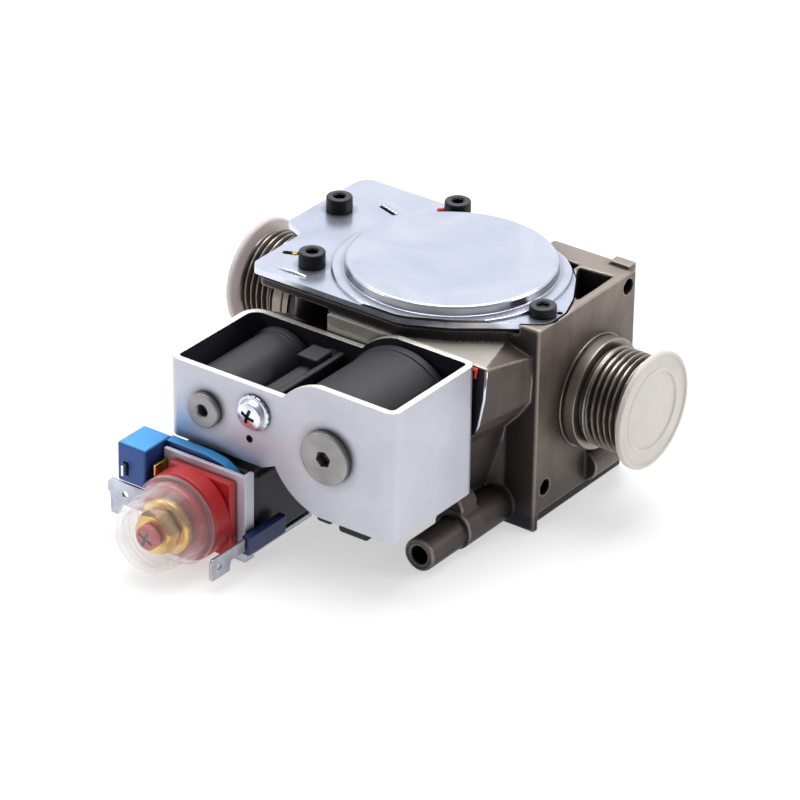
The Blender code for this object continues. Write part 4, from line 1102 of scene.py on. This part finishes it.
    piece("spade_blade_1", box(-81.0, -80.2, -88.6, -79.9, -13.6, -10.6, 0.2, 2), BRIGHT, "valve", "spade_1")
    piece("spade_blade_2", box(-73.6, -72.8, -85.0, -80.3, -12.6, -9.6, 0.2, 2), BRASS, "valve", "spade_2")
    sp = prism("x", [rounded([(-96.0, -23.2), (-95.4, -22.6), (-82.3, -22.6), (-82.3, -26.0), (-88.0, -26.0), (-88.6, -28.7), (-95.4, -28.7), (-96.0, -28.1)],
                             [0.3, 0.3, 0, 0, 0.6, 0.3, 0.3, 0.3], 4)], -47.3, -46.5)
    cut(sp, cyl("x", -92.6, -25.6, -50.0, -45.0, 0.85, 32))
    bevel(sp, 0.16, 2, 40)
    piece("long_spade", sp, SPADE, "valve", "modulator_spade")
    piece("spade_sleeve", box(-48.1, -45.7, -82.0, -66.6, -27.6, -22.2, 0.6, 3), NAVY, "valve", "spade_carrier", smooth=40)
    tab = prism("y", [rounded([(-87.2, -18.2), (-86.2, -17.0), (-75.0, -17.0), (-75.0, -23.2), (-82.4, -23.4), (-83.8, -26.8), (-86.2, -26.8), (-86.4, -21.2), (-87.2, -20.6)],
                              [0.4, 0.6, 0, 0, 0.6, 0.5, 0.5, 0.4, 0.3], 4)], -86.4, -85.6)
    join(tab, box(-75.8, -75.0, -86.4, -79.0, -23.2, -17.0))
    cut(tab, cyl("y", -81.6, -20.2, -90.0, -80.0, 1.0, 28))
    bevel(tab, 0.18, 3, 40)
    piece("earth_tab_sheet", tab, SPADE, "valve", "earth_tab")


# ------------------------------------------------------------------------ plugs
def build_plugs():
    prof = fillet([(0.0, 18.5), (10.1, 18.5), (10.5, 18.9), (11.2, 18.95), (11.6, 18.75), (14.3, 18.75), (14.7, 19.18), (15.35, 19.18), (15.67, 18.8),
                   (15.67, 17.9), (15.2, 17.5), (9.15, 17.5), (9.05, 7.4), (8.7, 6.8), (7.9, 6.8), (7.7, 16.8), (0.0, 16.8)],
                  [0, 0.3, 0.3, 0.25, 0.3, 0.3, 0.2, 0.2, 0.2, 0.2, 0.2, 0.3, 0.2, 0.2, 0.2, 0.8, 0], 4)
    piece("outlet_plug_cap", turned("x", 0, 0, prof, 128), PLUG, "outlet_cap", "outlet_plug", smooth=60)
    piece("inlet_plug_cap", turned("x", 0, 0, prof, 128, mirror=MIRROR_X), PLUG_IN, "inlet_cap", "inlet_plug", smooth=60)


# ----------------------------------------------------------------------- springs
def live_spring(node, axis, fixed, turns, wire, taper=1.0):
    """A return spring coiled through the box of its CAD part, which it replaces. It keeps its length when its valve
    lifts; fixed only sets a point that nothing uses.
    """
    lo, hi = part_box(node)
    k = "xyz".index(axis)
    low, high = lo / MM - OFF, hi / MM - OFF
    u, v = [i for i in range(3) if i != k]
    r = (high[u] - low[u]) / 2 - wire
    pts = []
    total = int(turns * 28)
    for i in range(total + 1):
        t = i / total
        a = 2 * math.pi * turns * t
        rr = r * (1 + (taper - 1) * t)
        p = [0.0, 0.0, 0.0]
        p[u] = (low[u] + high[u]) / 2 + rr * math.cos(a)
        p[v] = (low[v] + high[v]) / 2 + rr * math.sin(a)
        p[k] = low[k] + wire + (high[k] - low[k] - 2 * wire) * t
        pts.append(p)
    obj = piece(node + "_coil", tube(pts, wire, rings=3), STEEL, "valve", node, smooth=180)
    mid = (lo + hi) / 2
    mid[k] = fixed
    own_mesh(obj)


# ----------------------------------------------------------------- camera, light
def camera():
    az, el, roll = math.radians(-35.8463), math.radians(28.5326), math.radians(-0.8935)
    ca, sa, ce, se = math.cos(az), math.sin(az), math.cos(el), math.sin(el)
    fwd = Vector((sa * ce, ca * ce, -se))
    right = Vector((ca, -sa, 0.0))
    down = fwd.cross(right)
    r = math.cos(roll) * right + math.sin(roll) * down
    d = -math.sin(roll) * right + math.cos(roll) * down
    cam_data = bpy.data.cameras.new("camera")
    cam_data.sensor_width = 36.0
    cam_data.lens = 4519.37 / 800 * 36.0
    cam_data.clip_start, cam_data.clip_end = 0.05, 20
    cam = bpy.data.objects.new("camera", cam_data)
    MAIN.objects.link(cam)
    rot = Matrix((r, -d, -fwd)).transposed()
    cam.matrix_world = Matrix.Translation((Vector((549.546, -842.971, 542.358)) + OFF) * MM) @ rot.to_4x4()
    bpy.context.scene.camera = cam
    return cam


def area(name, loc, target, size, power, color=(1, 1, 1), size_y=None):
    data = bpy.data.lights.new(name, "AREA")
    data.energy = power
    data.color = color
    data.size = size
    if size_y:
        data.shape = "RECTANGLE"
        data.size_y = size_y
    obj = bpy.data.objects.new(name, data)
    MAIN.objects.link(obj)
    obj.location = loc
    obj.rotation_euler = (Vector(target) - Vector(loc)).to_track_quat("-Z", "Y").to_euler()
    return obj


def studio():
    floor_mesh = bpy.data.meshes.new("floor")
    bm = bmesh.new()
    bmesh.ops.create_grid(bm, x_segments=1, y_segments=1, size=6.0)
    bm.to_mesh(floor_mesh)
    bm.free()
    floor = bpy.data.objects.new("floor", floor_mesh)
    MAIN.objects.link(floor)
    floor.location = (0, 0, -0.0001)
    m = bpy.data.materials.new("floor_white")
    m.use_nodes = True
    s = m.node_tree.nodes["Principled BSDF"]
    s.inputs["Base Color"].default_value = (0.5, 0.5, 0.5, 1)
    s.inputs["Emission Color"].default_value = (1.0, 1.0, 1.0, 1)
    s.inputs["Emission Strength"].default_value = 0.55
    s.inputs["Roughness"].default_value = 0.9
    s.inputs["Specular IOR Level"].default_value = 0.1
    floor_mesh.materials.append(m)
    world = bpy.data.worlds.new("studio")
    bpy.context.scene.world = world
    world.use_nodes = True
    nt = world.node_tree
    bg = nt.nodes["Background"]
    co = nt.nodes.new("ShaderNodeTexCoord")
    sep = nt.nodes.new("ShaderNodeSeparateXYZ")
    nt.links.new(co.outputs["Generated"], sep.inputs[0])
    dot = nt.nodes.new("ShaderNodeVectorMath")
    dot.operation = "DOT_PRODUCT"
    nt.links.new(co.outputs["Generated"], dot.inputs[0])
    dot.inputs[1].default_value = (-0.51, 0.71, 0.48)
    ramp = nt.nodes.new("ShaderNodeValToRGB")
    e = ramp.color_ramp.elements
    e[0].position, e[0].color = 0.0, (0.16, 0.16, 0.17, 1)
    e[1].position, e[1].color = 1.0, (0.84, 0.85, 0.88, 1)
    e.new(0.35).color = (0.24, 0.24, 0.25, 1)
    e.new(0.72).color = (0.72, 0.73, 0.76, 1)
    half = nt.nodes.new("ShaderNodeMapRange")
    half.inputs["From Min"].default_value = -0.6
    half.inputs["From Max"].default_value = 1.0
    nt.links.new(dot.outputs["Value"], half.inputs["Value"])
    nt.links.new(half.outputs["Result"], ramp.inputs["Fac"])
    nt.links.new(ramp.outputs["Color"], bg.inputs["Color"])
    bg.inputs["Strength"].default_value = 1.0
    c = (0.0, 0.0, 0.03)
    area("key_top", (-0.15, 0.25, 0.95), c, 0.8, 9.5, (1.0, 0.99, 0.98))
    area("front_left", (-0.8, -0.6, 0.5), c, 0.45, 1.6, (0.95, 0.97, 1.0))
    area("right_back", (0.8, 0.5, 0.5), c, 0.4, 3.0, (1.0, 0.98, 0.95))
    bpy.context.scene.view_settings.view_transform = "Standard"


camera()
build_body()
build_ports()
build_plate()
for i, (sx, sy, top) in enumerate(SCREWS):
    cap_screw(i + 1, sx, sy, top)
build_bracket()
build_coils()
build_front_screws()
build_modulator()
build_plugs()
live_spring("ev1_spring", "y", 0.0048, 1.75, 0.35)
live_spring("ev2_spring", "y", 0.0048, 1.25, 0.35)
live_spring("regulator_spring", "z", 0.0590, 1.75, 0.4, 0.68)

for name in ("cover_gasket", "diaphragm", "main_valve_disc", "ev1_valve_disc", "ev2_valve_disc", "servo_valve_disc"):
    cad(name, RUBBER)
for name in ("regulator_stem", "ev1_plunger", "ev2_plunger", "modulator_plunger",
             "modulator_spring", "test_nipple_screw"):
    cad(name, STEEL)
for name in ("ev1_guide_tube", "ev2_guide_tube", "modulator_tube"):
    cad(name, BRASS)
cad("diaphragm_plate", BRIGHT)
cad("inlet_filter", MESHM)
studio()

bpy.data.collections.remove(TEMP)
